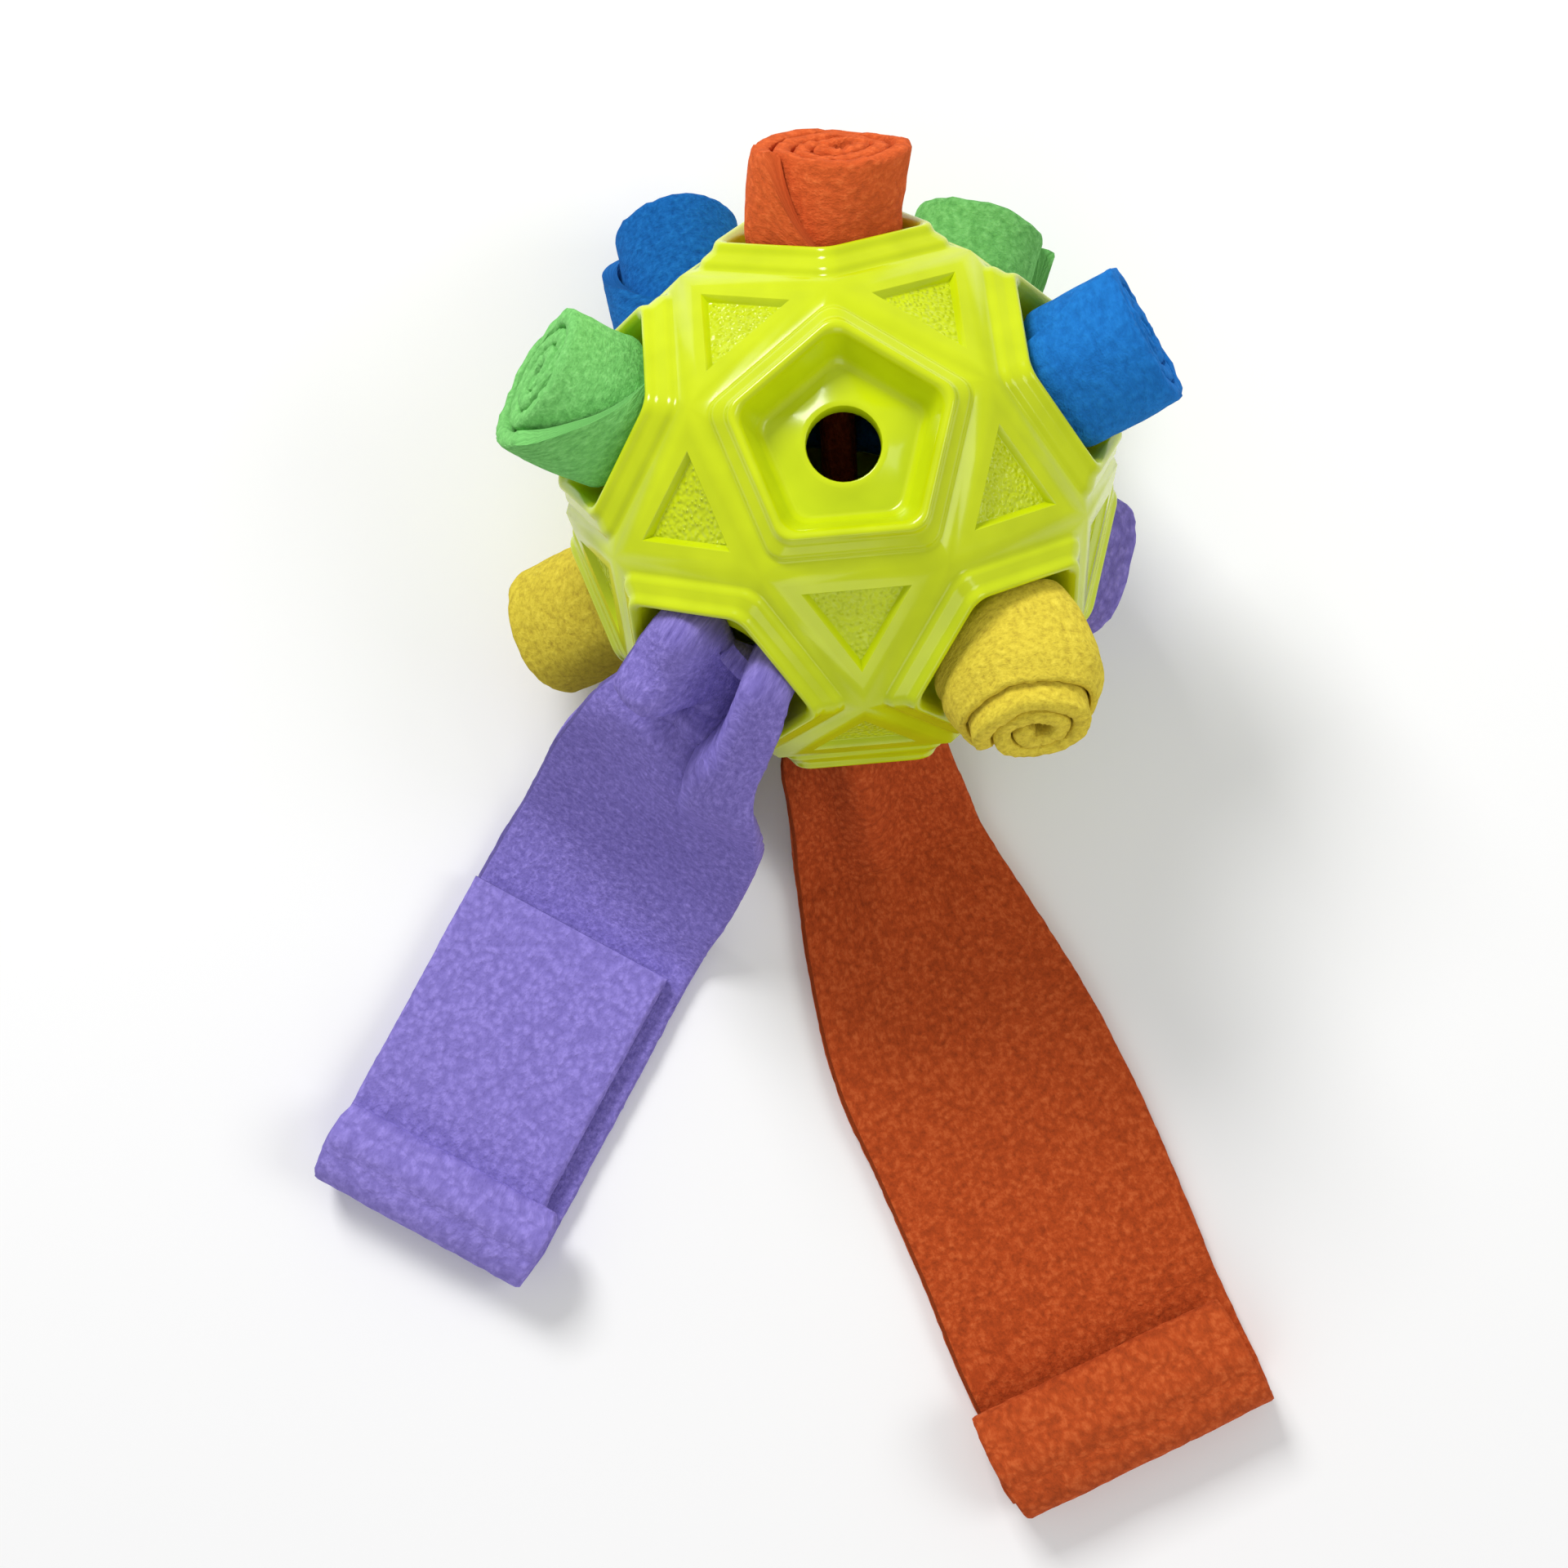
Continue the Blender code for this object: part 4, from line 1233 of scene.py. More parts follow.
    def _filled(self, flat: Vector, height: float) -> Vector:
        """Draws a point of the roll out towards the corners of its pocket.

        Args:
            flat: The point's offset from the roll's middle line.
            height: Its height along the straight roll.

        Returns:
            The new offset.
        """
        heights = (self.base, self.foot, self.foot + self.bend_length)
        corner = math.radians(90 if self.ring is Ring.UPPER else -90)
        near_corner = 0.5 + 0.5 * math.cos(5 * (math.atan2(flat.y, flat.x) - corner))
        filled = share_at(list(zip(heights, self.fill_shares)), height)
        fill = self.corner_fill * filled * near_corner
        reach = fill * (flat.length / self.outer_radius) ** 3
        return flat * (1 + reach / max(flat.length, self.smallest_radius))

    def _bent(self, flat: Vector, height: float) -> Vector:
        """Puts a point of the straight roll on the bent roll's middle line.

        Args:
            flat: The point's offset from the roll's middle line.
            height: Its height along the straight roll.

        Returns:
            The point, centred on the ball's centre.
        """
        way = heading(self.lean_way)
        past = max(0.0, height - self.foot)
        bent = min(past, self.bend_length)
        radius = self.bend_length / math.radians(self.lean)
        tilt = bent / radius
        turn = Matrix.Rotation(tilt, 3, UP.cross(way))
        place = UP * (height - past + radius * math.sin(tilt))
        place += way * (radius * (1 - math.cos(tilt)))
        return self.frame @ (place + turn @ (flat + UP * (past - bent)))

    def _neck(self, material: bpy.types.Material) -> bpy.types.Object:
        """The bunched strip in the hole, pleated, which spreads into the roll's foot.

        Args:
            material: The fleece.

        Returns:
            The neck, centred on the ball's centre.
        """
        foot = self.widest * self.girths[0] - self.weave.thickness / 2
        rows = [*self.neck_rows, (self.neck_head, self.seat), (foot, self.seat + self.neck_spread),
                (foot, self.base - self.neck_gap)]
        points, uvs = [], []
        for radius, height in rows:
            for i in range(self.neck_sides):
                turn = math.tau * i / self.neck_sides
                wave = math.sin(self.pleats * turn / 2 + self.seed + height * self.pleat_twist)
                reach = radius * (1 - abs(wave) * self.pleat_depth)
                ring_point = Vector((reach * math.cos(turn), reach * math.sin(turn), height))
                points.append(self.frame @ ring_point)
                uvs.append((radius * turn, height))
        return closed_bundle(f"{self.name}_neck", points, uvs, self.neck_sides, material)


ROLLS = (
    # Each roll's painted light lifts its colour where lamp light made it look brighter
    RolledEnd("orange_roll", Hue.ORANGE, Ring.UPPER, azimuth=90, stand=0.0140, lean=15,
              lean_way=158, hand=1, seam=58, skew=-1.1, pebbly=0.6, seed=1.0, end_slope=-0.2,
              painted_light=0.3),
    RolledEnd("green_roll_left", Hue.GREEN, Ring.UPPER, azimuth=162, stand=0.0135, lean=12,
              lean_way=180, hand=1, seam=68, skew=-1.9, pebbly=0.15, seed=2.0, painted_light=0.22),
    RolledEnd("yellow_roll_right", Hue.YELLOW, Ring.UPPER, azimuth=306, stand=0.0175, lean=29,
              lean_way=170, hand=1, seam=200, skew=0.2, pebbly=0.2, seed=3.0, collar=0.0040,
              painted_light=0.12),
    RolledEnd("blue_roll_right", Hue.BLUE, Ring.UPPER, azimuth=18, stand=0.0150, lean=9,
              lean_way=292, hand=-1, seam=60, skew=0.5, pebbly=0.8, seed=4.0, painted_light=0.25),
    RolledEnd("blue_roll_left", Hue.BLUE, Ring.LOWER, azimuth=126, stand=0.0260, lean=28,
              lean_way=170, hand=1, seam=45, skew=-2.2, pebbly=0.3, seed=5.0),
    RolledEnd("yellow_roll_left", Hue.YELLOW, Ring.LOWER, azimuth=198, stand=0.0200, lean=7,
              lean_way=237, hand=1, seam=300, skew=0.3, pebbly=0.4, seed=6.0),
    RolledEnd("purple_roll", Hue.PURPLE, Ring.LOWER, azimuth=342, stand=0.0090, lean=4,
              lean_way=90, hand=1, seam=220, skew=0.3, pebbly=0.9, seed=7.0),
    RolledEnd("green_roll_right", Hue.GREEN, Ring.LOWER, azimuth=54, stand=0.0195, lean=26,
              lean_way=55, hand=-1, seam=200, skew=0.3, pebbly=0.5, seed=8.0),
)


@dataclass
class InnerStretch:
    """The slack stretch of a strip inside the ball, bunched to a soft rope."""

    hue: Hue
    start: tuple[Ring, float]
    end: tuple[Ring, float]
    pull: float
    spread: float = 0.0
    rise: float = 0.0
    reach: float = 0.0282
    straight: float = 0.95
    radius: float = 0.0034
    steps: int = 40
    sides: int = 30
    pleats: int = 5
    pleat_twist: float = 60.0
    pleat_depth: float = 0.22

    def build(self, centre: Vector, wardrobe: Wardrobe) -> None:
        """Sweeps the bundle along its route.

        Args:
            centre: The ball's centre.
            wardrobe: The finishes.
        """
        path = self._path()
        side = (path[1] - path[0]).orthogonal().normalized()
        points, uvs, run = [], [], 0.0
        for i, place in enumerate(path):
            ahead = (path[min(i + 1, len(path) - 1)] - path[max(i - 1, 0)]).normalized()
            side = (side - ahead * side.dot(ahead)).normalized()
            other = ahead.cross(side)
            run += (place - path[i - 1]).length if i else 0.0
            for k in range(self.sides):
                turn = math.tau * k / self.sides
                wave = math.sin(self.pleats * turn / 2 + run * self.pleat_twist)
                reach = self.radius * (1 - abs(wave) * self.pleat_depth)
                out = side * (reach * math.cos(turn))
                points.append(place + out + other * (reach * math.sin(turn)))
                uvs.append((self.radius * turn, run))
        piece = closed_bundle(f"{self.hue.value}_inner_cloth", points, uvs, self.sides,
                              wardrobe.fleece[self.hue])
        settle(piece, centre)
        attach(piece, "ball")
        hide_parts(f"{self.hue.value}_middle")
        log.info("%s middle: %.0f mm", self.hue.value, run * MM_PER_METRE)

    def _path(self) -> list[Vector]:
        """The route from hole to hole, which sways up and down where the holes are opposite.

        Returns:
            Its places, from the start to the end.
        """
        first, last = pocket_axis(*self.start), pocket_axis(*self.end)
        a, d = first * self.reach, last * self.reach
        if self.rise:
            b = UP * (self.reach * self.rise)
            c = -b
        else:
            middle = (first + last).normalized()
            b, c = ((end + middle).normalized() * (self.reach * self.spread)
                    for end in (first, last))
        controls = [a * self.straight, a * self.pull, b, c, d * self.pull, d * self.straight]
        return [a, *(self._bezier(controls, k / self.steps) for k in range(self.steps + 1)), d]

    @staticmethod
    def _bezier(controls: Sequence[Vector], t: float) -> Vector:
        """The point at share t of a Bezier curve."""
        order = len(controls) - 1
        weights = (math.comb(order, i) * t**i * (1 - t) ** (order - i) for i in range(order + 1))
        return sum((point * weight for point, weight in zip(controls, weights)), Vector())


INNER_STRETCHES = (
    InnerStretch(Hue.ORANGE, (Ring.UPPER, 90), (Ring.LOWER, 270), pull=0.7, rise=0.85),
    InnerStretch(Hue.PURPLE, (Ring.UPPER, 234), (Ring.LOWER, 342), pull=0.7, spread=1.0),
    InnerStretch(Hue.YELLOW, (Ring.UPPER, 306), (Ring.LOWER, 198), pull=0.4, spread=0.5),
    InnerStretch(Hue.GREEN, (Ring.UPPER, 162), (Ring.LOWER, 54), pull=0.7, spread=1.0),
    InnerStretch(Hue.BLUE, (Ring.UPPER, 18), (Ring.LOWER, 126), pull=0.4, spread=0.5),
)


@dataclass
class LooseEnd:
    """What both loose ends share: the sizes of the cloth and of the ball that it leaves."""

    weave: FleeceWeave = field(default_factory=FleeceWeave)
    azimuth: float = 0.0
    width: float = 0.0500
    rim_height: float = 0.04685
    dome_top: float = 0.04065
    neck_radius: float = 0.00585
    seat_gap: float = 0.0003
    turn_gap: float = 0.0006
    puff: float = 0.0015
    tuck: float = 0.035
    half_turn_steps: int = 18
    row_steps: int = 12
    level: float = 0.05
    rim_run: float = 0.0

    @property
    def lying(self) -> float:
        """The height of the middle of the cloth where it lies on the ground."""
        return self.seat_gap + self.weave.thickness / 2 - self.rim_height

    @property
    def pitch(self) -> float:
        """The height from one layer of cloth to the next."""
        return self.weave.thickness + self.turn_gap

    def smoothed(self, rows: Sequence[Sequence]) -> list[list]:
        """A smooth curve through rows of place and width, kept above the ground.

        Args:
            rows: The rows to pass through.

        Returns:
            The rows of the curve.
        """
        path = smooth_rows(rows, self.row_steps)
        for row in path:
            row[0].z = max(row[0].z, self.lying)
        return path

    def stations(self, rows: Sequence[Sequence], across: Vector,
                 square_from: int | None = None) -> list[Station]:
        """Turns rows of place and width into stations that keep the cloth level across.

        Args:
            rows: The strip's rows.
            across: The direction across the strip.
            square_from: The first row held exactly to that direction, as folded cloth is.

        Returns:
            The stations, with their run along the cloth.
        """
        made, run = [], 0.0
        for i, (place, width) in enumerate(rows):
            before, after = rows[max(0, i - 1)][0], rows[min(len(rows) - 1, i + 1)][0]
            ahead = (after - before).normalized()
            side = UP.cross(ahead)
            squared = square_from is not None and i >= square_from
            side = across if squared or side.length < self.level else side.normalized()
            side = -side if side.dot(across) < 0 else side
            run += (place - rows[i - 1][0]).length if i else 0.0
            made.append(Station(place, side, ahead.cross(side).normalized(), width, run))
        return made

    def folded_over(self, start: Vector, ahead: Vector, turns: Sequence[tuple[float, int, float]],
                    width: float) -> list[list]:
        """Rows of a strip folded over by half turns, with a puff in the run after the first one.

        Args:
            start: Where the first turn starts.
            ahead: The direction that the strip runs in there.
            turns: Radius, 1 for up or -1 for down, and the run after each turn.
            width: The strip's width.

        Returns:
            The rows.
        """
        rows, place, way = [], start.copy(), 1
        for number, (radius, rise, run) in enumerate(turns):
            middle = place + UP * (radius * rise)
            for step in range(self.half_turn_steps + 1):
                angle = math.pi * step / self.half_turn_steps
                rows.append([middle + ahead * (way * radius * math.sin(angle))
                             - UP * (rise * radius * math.cos(angle)),
                             width * (1 - self.tuck * math.sin(angle))])
            way = -way
            foot = rows[-1][0]
            place = foot + ahead * (way * run)
            pieces = max(1, round(run / self.weave.cell))
            puff = 0.0 if number else self.puff
            for k in range(1, pieces):
                swell = puff * math.sin(math.pi * k / pieces) ** 2
                rows.append([foot.lerp(place, k / pieces) + UP * swell, width])
        return [*rows, [place, width]]

    def two_pieces(self, hue: Hue, stations: Sequence[Station], split: int, hinge: Vector,
                   centre: Vector, wardrobe: Wardrobe, drape: Drape,
                   seed: float) -> list[bpy.types.Object]:
        """Lofts the strip in two pieces, which meet at one station.

        The run at the rim is set first, because the drape counts from there.

        Args:
            hue: The strip's colour.
            stations: All of its stations.
            split: The station at which the pieces meet.
            hinge: Where the strip passes over its pocket's rim.
            centre: The ball's centre.
            wardrobe: The finishes.
            drape: Height of the folds of the piece in the pocket's mouth.
            seed: Where the noise is read from.

        Returns:
            The piece in the mouth and the piece that lies on the ground.
        """
        self.rim_run = min(stations[:split], key=lambda s: (s.place - hinge).length).run
        columns = round(self.width / self.weave.cell)
        parts = (("mouth", stations[: split + 1], drape), ("lying", stations[split:], None))
        pieces = [self.weave.mesh(f"{hue.value}_{part}_cloth", places, self.width, columns,
                                  wardrobe.fleece[hue], folds, seed=seed)
                  for part, places, folds in parts]
        for piece in pieces:
            settle(piece, centre)
        log.info("%s end: %d stations", hue.value, len(stations))
        return pieces


@dataclass(frozen=True)
class PurpleFolds:
    """The folds in the purple strip's mouth: a wide lobe, a narrow one and a valley between them.

    Heights are in metres, and so are the places along the cloth where a fold starts or ends. These
    are counted past the pocket's rim, or from the hole where the name says so. Places across the
    cloth are shares of its width from its middle.
    """

    lobe: float = 0.0046
    lobe_swelling: float = 0.0036
    lobe_across: Span = (-0.34, 0.02)
    lobe_swells: Span = (-0.0170, -0.0100)
    lobe_ends: Span = (-0.0085, -0.0066)
    tucked: float = 0.0020
    tucked_deeper: float = 0.0030
    tucked_across: Span = (-0.12, 0.02)
    tucked_rises: Span = (-0.0045, -0.0015)
    tucked_ends: Span = (0.0005, 0.0060)
    brow: float = 0.0012
    brow_starts: Span = (0.001, 0.008)
    brow_ends: Span = (0.010, 0.026)
    drift: float = 0.10
    drift_along: Span = (-0.008, 0.004)
    valley: float = 0.0020
    valley_in_mouth: float = 0.0034
    valley_under_lobe: float = 0.0020
    valley_left: float = -0.22
    valley_slope: float = 0.42
    valley_right: Span = (0.20, 0.235)
    valley_rises: Span = (-0.0055, -0.0028)
    valley_ends: Span = (0.0005, 0.0055)
    valley_starts_from_hole: Span = (0.004, 0.010)
    narrow: float = 0.0056
    narrow_across: Span = (0.20, 0.28)
    narrow_ends: Span = (0.002, 0.026)
    shoulder: float = 0.0034
    shoulder_power: int = 4
    shoulder_ends: Span = (0.002, 0.022)
    wave: float = 0.0009
    wave_rate: float = 7.0
    wave_start: float = 0.8
    wave_starts: Span = (0.004, 0.016)
    wave_ends: Span = (0.022, 0.040)
    starts_from_hole: Span = (0.0, 0.004)

    def height(self, share: float, run: float, past: float) -> float:
        """The height of the folds.

        Args:
            share: A place across the cloth, as a share of its width from its middle.
            run: The place along it, from the hole.
            past: The same place, from the pocket's rim.

        Returns:
            How far the middle of the cloth stands out there.
        """
        drifted = share + self.drift * eased(past, *self.drift_along)
        narrow = self.narrow * eased(drifted, *self.narrow_across) * waned(past, *self.narrow_ends)
        shoulders = self.shoulder * (2 * abs(share)) ** self.shoulder_power
        shoulders *= waned(past, *self.shoulder_ends)
        waves = self.wave * math.sin(share * self.wave_rate + self.wave_start)
        waves *= eased(past, *self.wave_starts) * waned(past, *self.wave_ends)
        folds = self._lobe(share, past) + narrow - self._valley(drifted, run, past) - shoulders
        return folds * eased(run, *self.starts_from_hole) + waves

    def _lobe(self, share: float, past: float) -> float:
        """The wide lobe, tucked in under its end before the rim, with a low brow past it.

        Args:
            share: A place across the cloth.
            past: The place along it, from the pocket's rim.

        Returns:
            The height there.
        """
        inside = waned(past, *self.lobe_ends)
        lobe = self.lobe + self.lobe_swelling * eased(past, *self.lobe_swells)
        lobe *= waned(share, *self.lobe_across) * inside
        tucked = self.tucked + self.tucked_deeper * waned(past, *self.tucked_rises)
        tucked *= waned(share, *self.tucked_across) * (1 - inside) * waned(past, *self.tucked_ends)
        brow = self.brow * eased(past, *self.brow_starts) * waned(past, *self.brow_ends)
        return lobe - tucked + brow

    def _valley(self, drifted: float, run: float, past: float) -> float:
        """The valley, whose floor slopes from the wide lobe down to the narrow one.

        Args:
            drifted: A place across the cloth, moved with the narrow lobe's drift.
            run: The place along it, from the hole.
            past: The same place, from the pocket's rim.

        Returns:
            The depth there.
        """
        slide = min(1.0, max(0.0, (drifted - self.valley_left) / self.valley_slope))
        depth = self.valley + self.valley_in_mouth * waned(past, *self.valley_rises)
        depth += self.valley_under_lobe * waned(past, *self.lobe_ends)
        depth *= waned(past, *self.valley_ends) * eased(run, *self.valley_starts_from_hole)
        return depth * slide * waned(drifted, *self.valley_right)


@dataclass
class PurpleEnd(LooseEnd):
    """The purple strip: scrunched in its pocket, over the rim, to the ground and folded back.

    A row of scrunch is a height along the pocket's axis, a way downhill from it and a width. A row
    of slope is a share of the way to the landing, a share of the drop and a share of the width.
    """

    # Painted light lifts this strip a little towards its lit colour
    weave: FleeceWeave = field(default_factory=lambda: FleeceWeave(painted_light=0.15))
    folds: PurpleFolds = field(default_factory=PurpleFolds)
    azimuth: float = 234.0
    bearing: float = 236.8
    width: float = 0.0445
    rim_width: float = 0.0285
    fold_width: float = 0.0405
    mouth: float = 0.0159
    fold_depth: float = 0.0017
    offset: float = 0.0068
    landing: float = 0.0880
    reach: float = 0.1580
    fold_edge: float = 0.0930
    turnover: float = 0.0165
    layer_steps: int = 20
    split_past: float = 0.004
    rim_bend: Span = (0.006, 0.004)
    crease_bend: Span = (0.003, 0.002)
    seed: float = 11.0
    scrunch: tuple[tuple[float, float, float], ...] = (
        (0.0422, -0.0030, 0.0200), (0.0446, -0.0060, 0.0235),
        (0.0470, 0.0000, 0.0262), (0.0489, 0.0080, 0.0275))
    slope: tuple[tuple[float, float, float], ...] = (
        (0.09, 0.15, 0.80), (0.30, 0.44, 0.95), (0.62, 0.82, 1.0))

    def __post_init__(self) -> None:
        """Works out the directions and places that follow from the sizes."""
        self.axis = pocket_axis(Ring.UPPER, self.azimuth)
        self.out = heading(self.bearing)
        self.across = UP.cross(self.out)
        self.downhill = (self.axis * self.axis.z - UP).normalized()
        self.side = self.across * -self.offset
        ride = self.rim_height + self.weave.thickness / 2 + self.fold_depth + 2 * self.seat_gap
        self.hinge = self.axis * ride + self.downhill * self.mouth
        self.outer, self.inner = 1.5 * self.pitch, 0.5 * self.pitch
        self.flat_end = self.reach - self.weave.thickness / 2 - self.outer
        self.crease = self.reach - self.turnover - self.weave.thickness / 2

    def build(self, centre: Vector, wardrobe: Wardrobe) -> None:
        """Models the strip in two pieces, which meet on the ground.

        Args:
            centre: The ball's centre.
            wardrobe: The finishes.
        """
        out, hinge = self.out, self.hinge
        path = self._path()
        turned = self._turned(path[-1][0])
        layer = self._layer(turned[-1][0])
        rows = evenly([*path, *turned[1:], *layer], self.weave.cell)
        bend = next(i for i, row in enumerate(rows) if row[0].dot(out) > self.crease)
        stations = self.stations(rows, self.across, square_from=bend)
        split_at = self.fold_edge + self.split_past
        split = next(i for i, s in enumerate(stations) if s.place.dot(out) > split_at)
        upper, lower = self.two_pieces(Hue.PURPLE, stations, split, hinge, centre, wardrobe,
                                       self._drape, self.seed)
        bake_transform(upper)
        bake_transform(lower)
        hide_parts("purple_gather", "purple_strip")
        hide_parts("purple_strip", "purple_fold", "purple_end")

    def _path(self) -> list[list]:
        """Runs from the hole, over the rim and along the ground to the first turn.

        Returns:
            Rows of place and width.
        """
        out, hinge = self.out, self.hinge
        rows = [[self.axis * self.dome_top, 2 * self.neck_radius]]
        rows += [[self.axis * height + self.downhill * down, width]
                 for height, down, width in self.scrunch]
        rows.append([hinge, self.rim_width])
        hinge_out, hinge_side = hinge.dot(out), self.across * hinge.dot(self.across)
        drop = hinge.z - self.lying
        for along, fall, width in self.slope:
            place = hinge_side.lerp(self.side, along)
            place += out * (hinge_out + (self.landing - hinge_out) * along)
            rows.append([place + UP * (hinge.z - drop * fall), self.width * width])
        halfway = (self.landing + self.crease) / 2
        for reach in (self.landing, halfway, self.crease, self.flat_end):
            rows.append([self.side + out * reach + UP * self.lying, self.width])
        return self.smoothed(rows)

    def _turned(self, start: Vector) -> list[list]:
        """Folds the end over, and narrows its last third to the layer that lies back.

        Args:
            start: Where the first turn starts.

        Returns:
            Rows of place and width.
        """
        run = self.flat_end - self.crease - self.weave.thickness - self.inner
        turned = self.folded_over(start, self.out, [
            (self.outer, 1, run), (self.inner, -1, run),
            (self.inner, -1, self.flat_end - self.crease)], self.width)
        narrowing = len(turned) // 3
        for number, row in enumerate(turned[-narrowing:], 1):
            narrower = (self.fold_width - self.width) * number / narrowing
            row[0] = row[0] + self.across * (narrower / 2)
            row[1] += narrower
        return turned

    def _layer(self, start: Vector) -> list[list]:
        """Runs the last layer back along the strip.

        Args:
            start: Where the last turn ends.

        Returns:
            Rows of place and width.
        """
        length = self.crease - self.fold_edge
        return [[start - self.out * (length * k / self.layer_steps), self.fold_width]
                for k in range(1, self.layer_steps + 1)]

    def _drape(self, share: float, run: float) -> float:
        """The height of the folds in the mouth."""
        return self.folds.height(share, run, run - self.rim_run)


@dataclass
class OrangeEnd(LooseEnd):
    """The orange strip: out of a low pocket, along the ground and rolled flat at its end.

    A row of slope is a share of the way to the landing, a share of the drop and a share of the
    width. A row of lie is a share of the way out to the crease, one of the way across and one of
    the width.
    """

    weave: FleeceWeave = field(default_factory=lambda: FleeceWeave(pebbly_face=0.7))
    azimuth: float = 270.0
    width: float = 0.0516
    landing: float = 0.0660
    landing_sway: float = 0.0045
    reach: float = 0.1823
    sway: float = 0.0438
    end_bearing: float = 291.0
    turnover: float = 0.0250
    slope: tuple[tuple[float, float, float], ...] = ((0.30, 0.36, 0.60), (0.62, 0.76, 0.66))
    lie: tuple[tuple[float, float, float], ...] = (
        (0.0, 0.0, 0.72), (0.15, 0.12, 0.84), (0.36, 0.32, 0.97), (0.58, 0.58, 1.0),
        (0.79, 0.80, 1.0))
    mouth_share: float = 0.38
    rim_share: float = 0.53
    end_share: float = 0.985
    end_shift: float = 0.0020
    tuck: float = 0.012
    split_past: float = 0.050
    rim_bend: Span = (0.004, 0.003)
    crease_bend: Span = (0.003, 0.002)
    seed: float = 21.0
    ridge: float = 0.0042
    ridge_place: float = -0.08
    ridge_width: float = 0.13
    ridge_ends: Span = (0.012, 0.055)
    shoulder: float = 0.0030
    shoulder_ends: Span = (0.0, 0.020)
    starts_from_hole: Span = (0.0, 0.005)

    def __post_init__(self) -> None:
        """Works out the directions and places that follow from the sizes."""
        self.axis = pocket_axis(Ring.LOWER, self.azimuth)
        self.across = Vector((1.0, 0.0, 0.0))
        self.out = heading(self.azimuth)
        self.ahead = heading(self.end_bearing)
        self.hinge = self.axis * (self.rim_height + self.weave.thickness)
        far = self.out * self.reach + self.across * self.sway + UP * self.lying
        self.outer = 1.5 * self.pitch
        self.flat_end = far - self.ahead * (self.weave.thickness / 2 + self.outer)
        self.crease = far - self.ahead * (self.turnover + self.weave.thickness / 2)

    def build(self, centre: Vector, wardrobe: Wardrobe) -> None:
        """Models the strip in two pieces, which meet on the ground.

        Args:
            centre: The ball's centre.
            wardrobe: The finishes.
        """
        out, ahead, hinge, crease = self.out, self.ahead, self.hinge, self.crease
        path = self._path()
        rows = evenly([*path, *self._turned(path[-1][0])[1:]], self.weave.cell)
        bend = next(i for i, row in enumerate(rows) if (row[0] - crease).length < self.weave.cell)
        stations = self.stations(rows[: bend + 1], self.across)
        rest = self.stations(rows[bend:], UP.cross(ahead), square_from=0)
        for station in rest:
            station.run += stations[-1].run
        stations += rest[1:]
        split_at = self.landing + self.split_past
        split = next(i for i, s in enumerate(stations) if s.place.dot(out) > split_at)
        upper, lower = self.two_pieces(Hue.ORANGE, stations, split, hinge, centre, wardrobe,
                                       self._drape, self.seed)
        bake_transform(upper)
        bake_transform(lower)
        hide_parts("orange_gather", "orange_strip")
        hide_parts("orange_strip", "orange_end")

    def _path(self) -> list[list]:
        """Runs from the hole, over the rim and along the ground to the first turn.

        Returns:
            Rows of place and width.
        """
        out, hinge = self.out, self.hinge
        start = self.axis * self.dome_top
        rows = [[start, 2 * self.neck_radius],
                [start.lerp(hinge, 0.5), self.width * self.mouth_share],
                [hinge, self.width * self.rim_share]]
        hinge_out = hinge.dot(out)
        drop = hinge.z - self.lying
        for along, fall, width in self.slope:
            place = out * (hinge_out + (self.landing - hinge_out) * along)
            place += self.across * (self.landing_sway * along)
            rows.append([place + UP * (hinge.z - drop * fall), self.width * width])
        landing = out * self.landing + self.across * self.landing_sway + UP * self.lying
        way = self.crease - landing
        for along, sway, width in self.lie:
            place = landing + out * (way.dot(out) * along)
            place += self.across * (way.dot(self.across) * sway)
            rows.append([place, self.width * width])
        rows += [[self.crease, self.width], [self.flat_end, self.width * self.end_share]]
        return self.smoothed(rows)

    def _turned(self, start: Vector) -> list[list]:
        """Rolls the end flat, which shifts it a little to one side.

        Args:
            start: Where the first turn starts.

        Returns:
            Rows of place and width.
        """
        inside = self.turnover - 2 * self.weave.thickness - 2.5 * self.pitch
        turned = self.folded_over(start, self.ahead, [
            (self.outer, 1, inside), (self.pitch, -1, inside), (self.pitch / 2, 1, inside)],
            self.width * self.end_share)
        sideways = UP.cross(self.ahead)
        for number, row in enumerate(turned):
            row[0] = row[0] - sideways * (self.end_shift * eased(number, 0, len(turned) / 3))
        return turned

    def _drape(self, share: float, run: float) -> float:
        """The height of the folds: a ridge left of the middle that dies out along the ground.

        Args:
            share: A place across the cloth, as a share of its width from its middle.
            run: The place along it, from the hole.

        Returns:
            How far the middle of the cloth stands out there.
        """
        past = run - self.rim_run
        ridge = self.ridge * math.exp(-(((share - self.ridge_place) / self.ridge_width) ** 2))
        shoulders = self.shoulder * (2 * abs(share)) ** 3 * waned(past, *self.shoulder_ends)
        folds = ridge * waned(past, *self.ridge_ends) - shoulders
        return folds * eased(run, *self.starts_from_hole)


# Studio


@dataclass(frozen=True)
class SoftLamp:
    """A square lamp that faces the ball, placed from the ball's centre."""

    name: str
    place: tuple[float, float, float]
    size: float
    power: float


LAMPS = (
    SoftLamp("key", (-0.345, 0.728, 0.75), size=0.36, power=9.3),
    SoftLamp("fill", (0.75, -0.15, 0.75), size=0.5, power=2.6),
    SoftLamp("front", (-0.15, -0.95, 0.55), size=0.5, power=1.3),
)


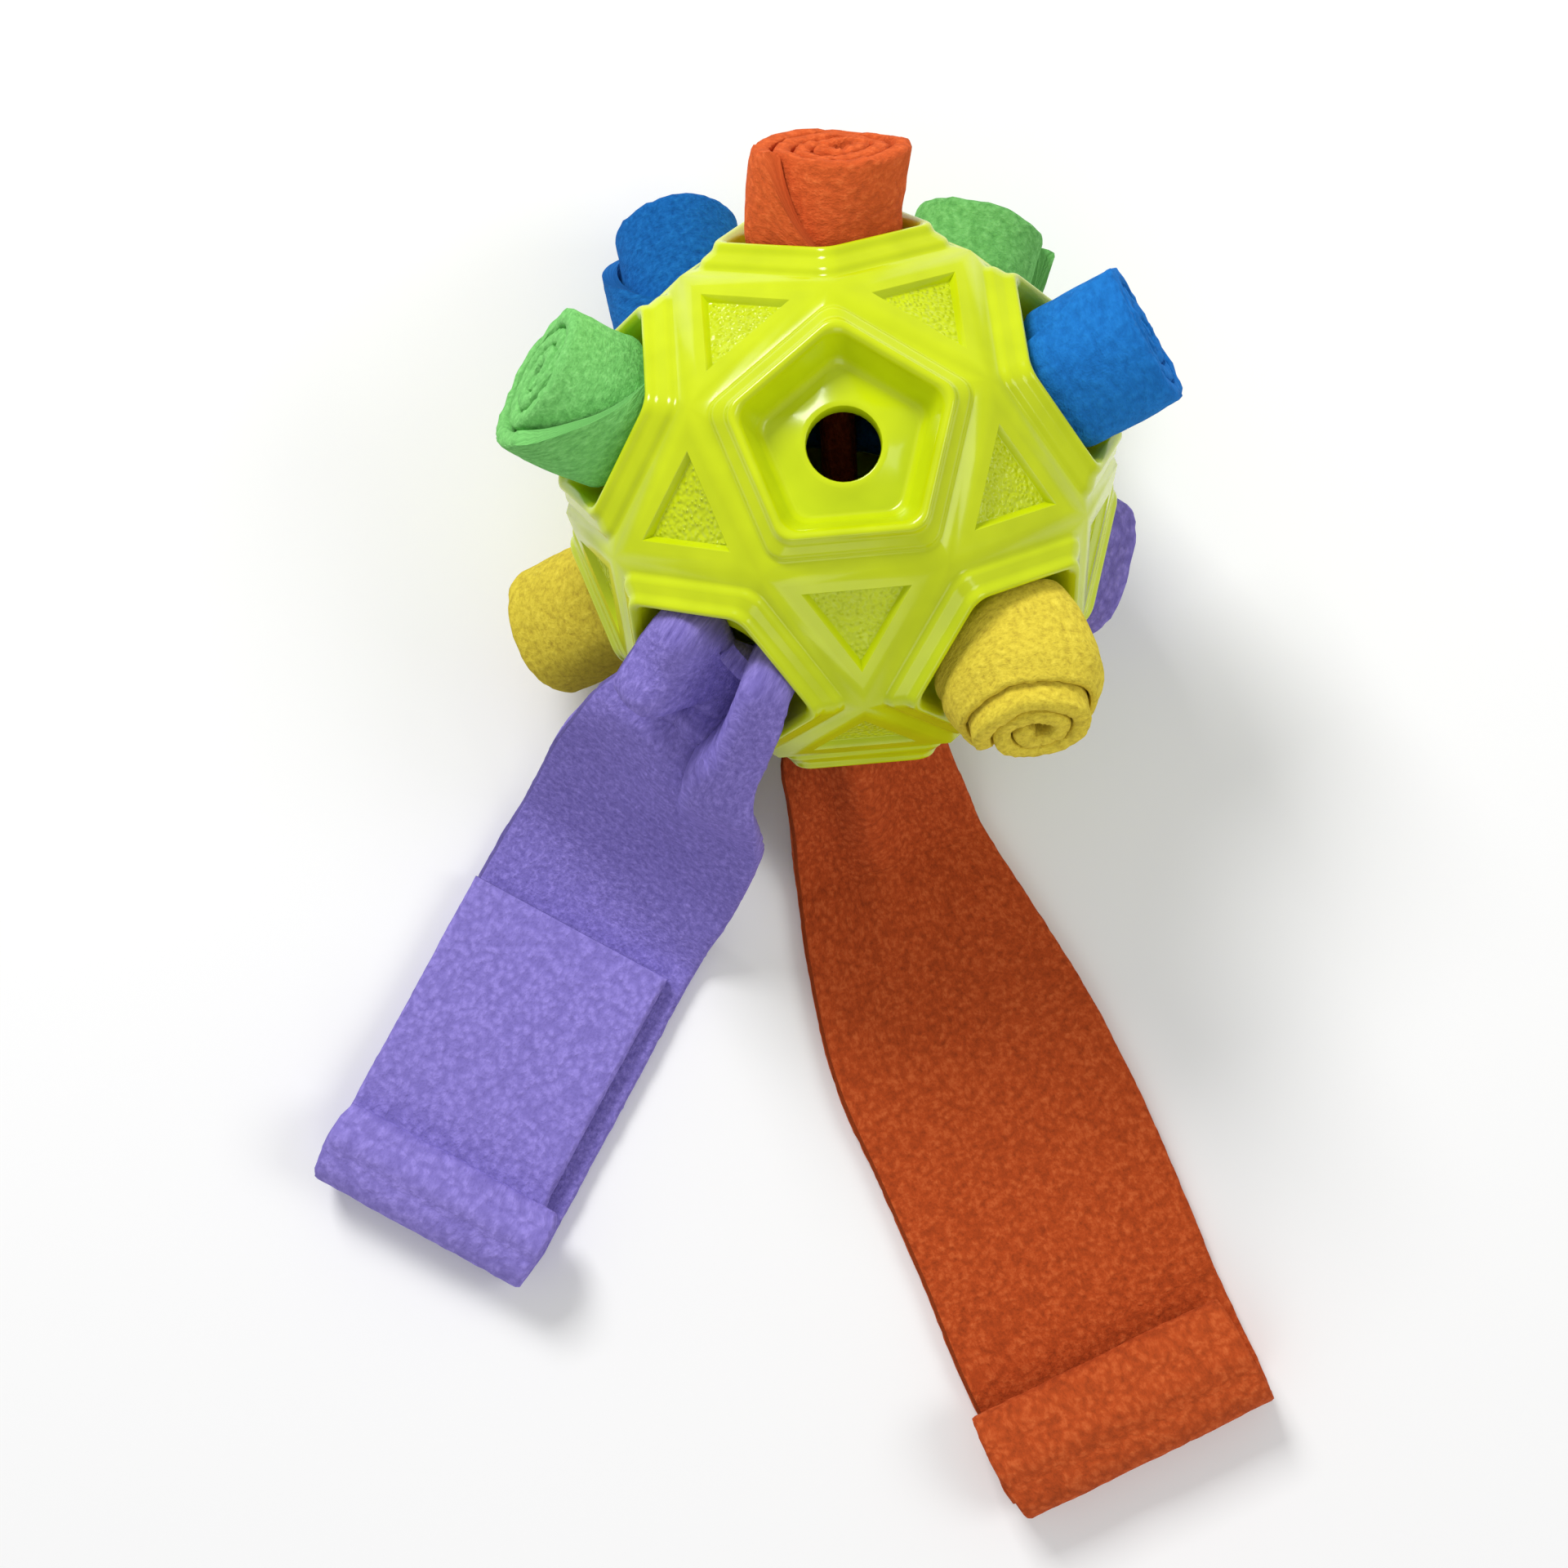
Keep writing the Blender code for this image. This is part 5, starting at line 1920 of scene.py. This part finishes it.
@dataclass
class Studio:
    """The camera where the photographer's was, a white ground and soft lamps."""

    centre: Vector
    camera_place: tuple[float, float, float] = (-0.011178, -0.082522, 0.455310)
    camera_back: tuple[float, float, float] = (0.007858, -0.067506, 0.997688)
    camera_up: tuple[float, float, float] = (0.086258, 0.994046, 0.066580)
    lens_mm: float = 59.10
    sensor_mm: float = 36.0
    clip_start: float = 0.01
    ground_size: float = 6.0
    ground_white: str = "#f4f4f4"
    ground_roughness: float = 0.9
    world_white: str = "#ffffff"
    world_strength: float = 0.46

    def build(self) -> None:
        """Sets up the camera, the ground, the lamps and the world."""
        self._camera()
        self._ground()
        for lamp in LAMPS:
            self._lamp(lamp)
        self._world()
        log.info("studio: %d lamps", len(LAMPS))

    def _camera(self) -> None:
        """Adds the camera."""
        data = bpy.data.cameras.new("camera")
        data.lens = self.lens_mm
        data.sensor_width = self.sensor_mm
        data.clip_start = self.clip_start
        back, up = Vector(self.camera_back).normalized(), Vector(self.camera_up)
        right = up.cross(back).normalized()
        turn = Matrix((right, back.cross(right), back)).transposed().to_4x4()
        camera = bpy.data.objects.new("camera", data)
        bpy.context.scene.collection.objects.link(camera)
        camera.matrix_world = Matrix.Translation(self.centre + Vector(self.camera_place)) @ turn
        bpy.context.scene.camera = camera

    def _ground(self) -> None:
        """Adds the ground, which shows white to the camera and keeps the object's shadow."""
        bpy.ops.mesh.primitive_plane_add(size=self.ground_size, location=(0, 0, 0))
        ground = bpy.context.object
        ground.name = "studio_ground"
        # Painted sweep: matt, so that it shows no glare beside the object
        material, _, shader = blank_material("white_sweep")
        set_sockets(shader, {"Base Color": linear(self.ground_white),
                             "Roughness": self.ground_roughness})
        ground.data.materials.append(material)

    def _lamp(self, lamp: SoftLamp) -> None:
        """Adds one lamp and turns it to the ball's centre.

        Args:
            lamp: Its name, place, size and power.
        """
        data = bpy.data.lights.new(lamp.name, "AREA")
        data.size = lamp.size
        data.energy = lamp.power
        light = bpy.data.objects.new(lamp.name, data)
        bpy.context.scene.collection.objects.link(light)
        light.location = self.centre + Vector(lamp.place)
        inwards = self.centre - light.location
        light.rotation_euler = inwards.to_track_quat("-Z", "Y").to_euler()

    def _world(self) -> None:
        """Gives the world a soft white light."""
        world = bpy.data.worlds.new("studio")
        world.use_nodes = True
        bpy.context.scene.world = world
        set_sockets(world.node_tree.nodes["Background"],
                    {"Color": linear(self.world_white), "Strength": self.world_strength})
        bpy.context.scene.view_settings.view_transform = "Standard"


def ball_centre() -> Vector:
    """The middle of the frame's two halves of the ball."""
    lows, highs = zip(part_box("upper_shell"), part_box("lower_shell"))
    low = [min(pair) for pair in zip(*lows)]
    high = [max(pair) for pair in zip(*highs)]
    return (Vector(low) + Vector(high)) / 2


def main() -> None:
    """Builds the dressed ball piece by piece."""
    logging.basicConfig(level=logging.INFO, format="%(message)s")
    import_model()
    centre = ball_centre()
    wardrobe = Wardrobe()
    RubberBall(centre, wardrobe).build()
    for roll in ROLLS:
        roll.build(centre, wardrobe)
    for stretch in INNER_STRETCHES:
        stretch.build(centre, wardrobe)
    PurpleEnd().build(centre, wardrobe)
    OrangeEnd().build(centre, wardrobe)
    Studio(centre).build()


if __name__ == "__main__":
    main()
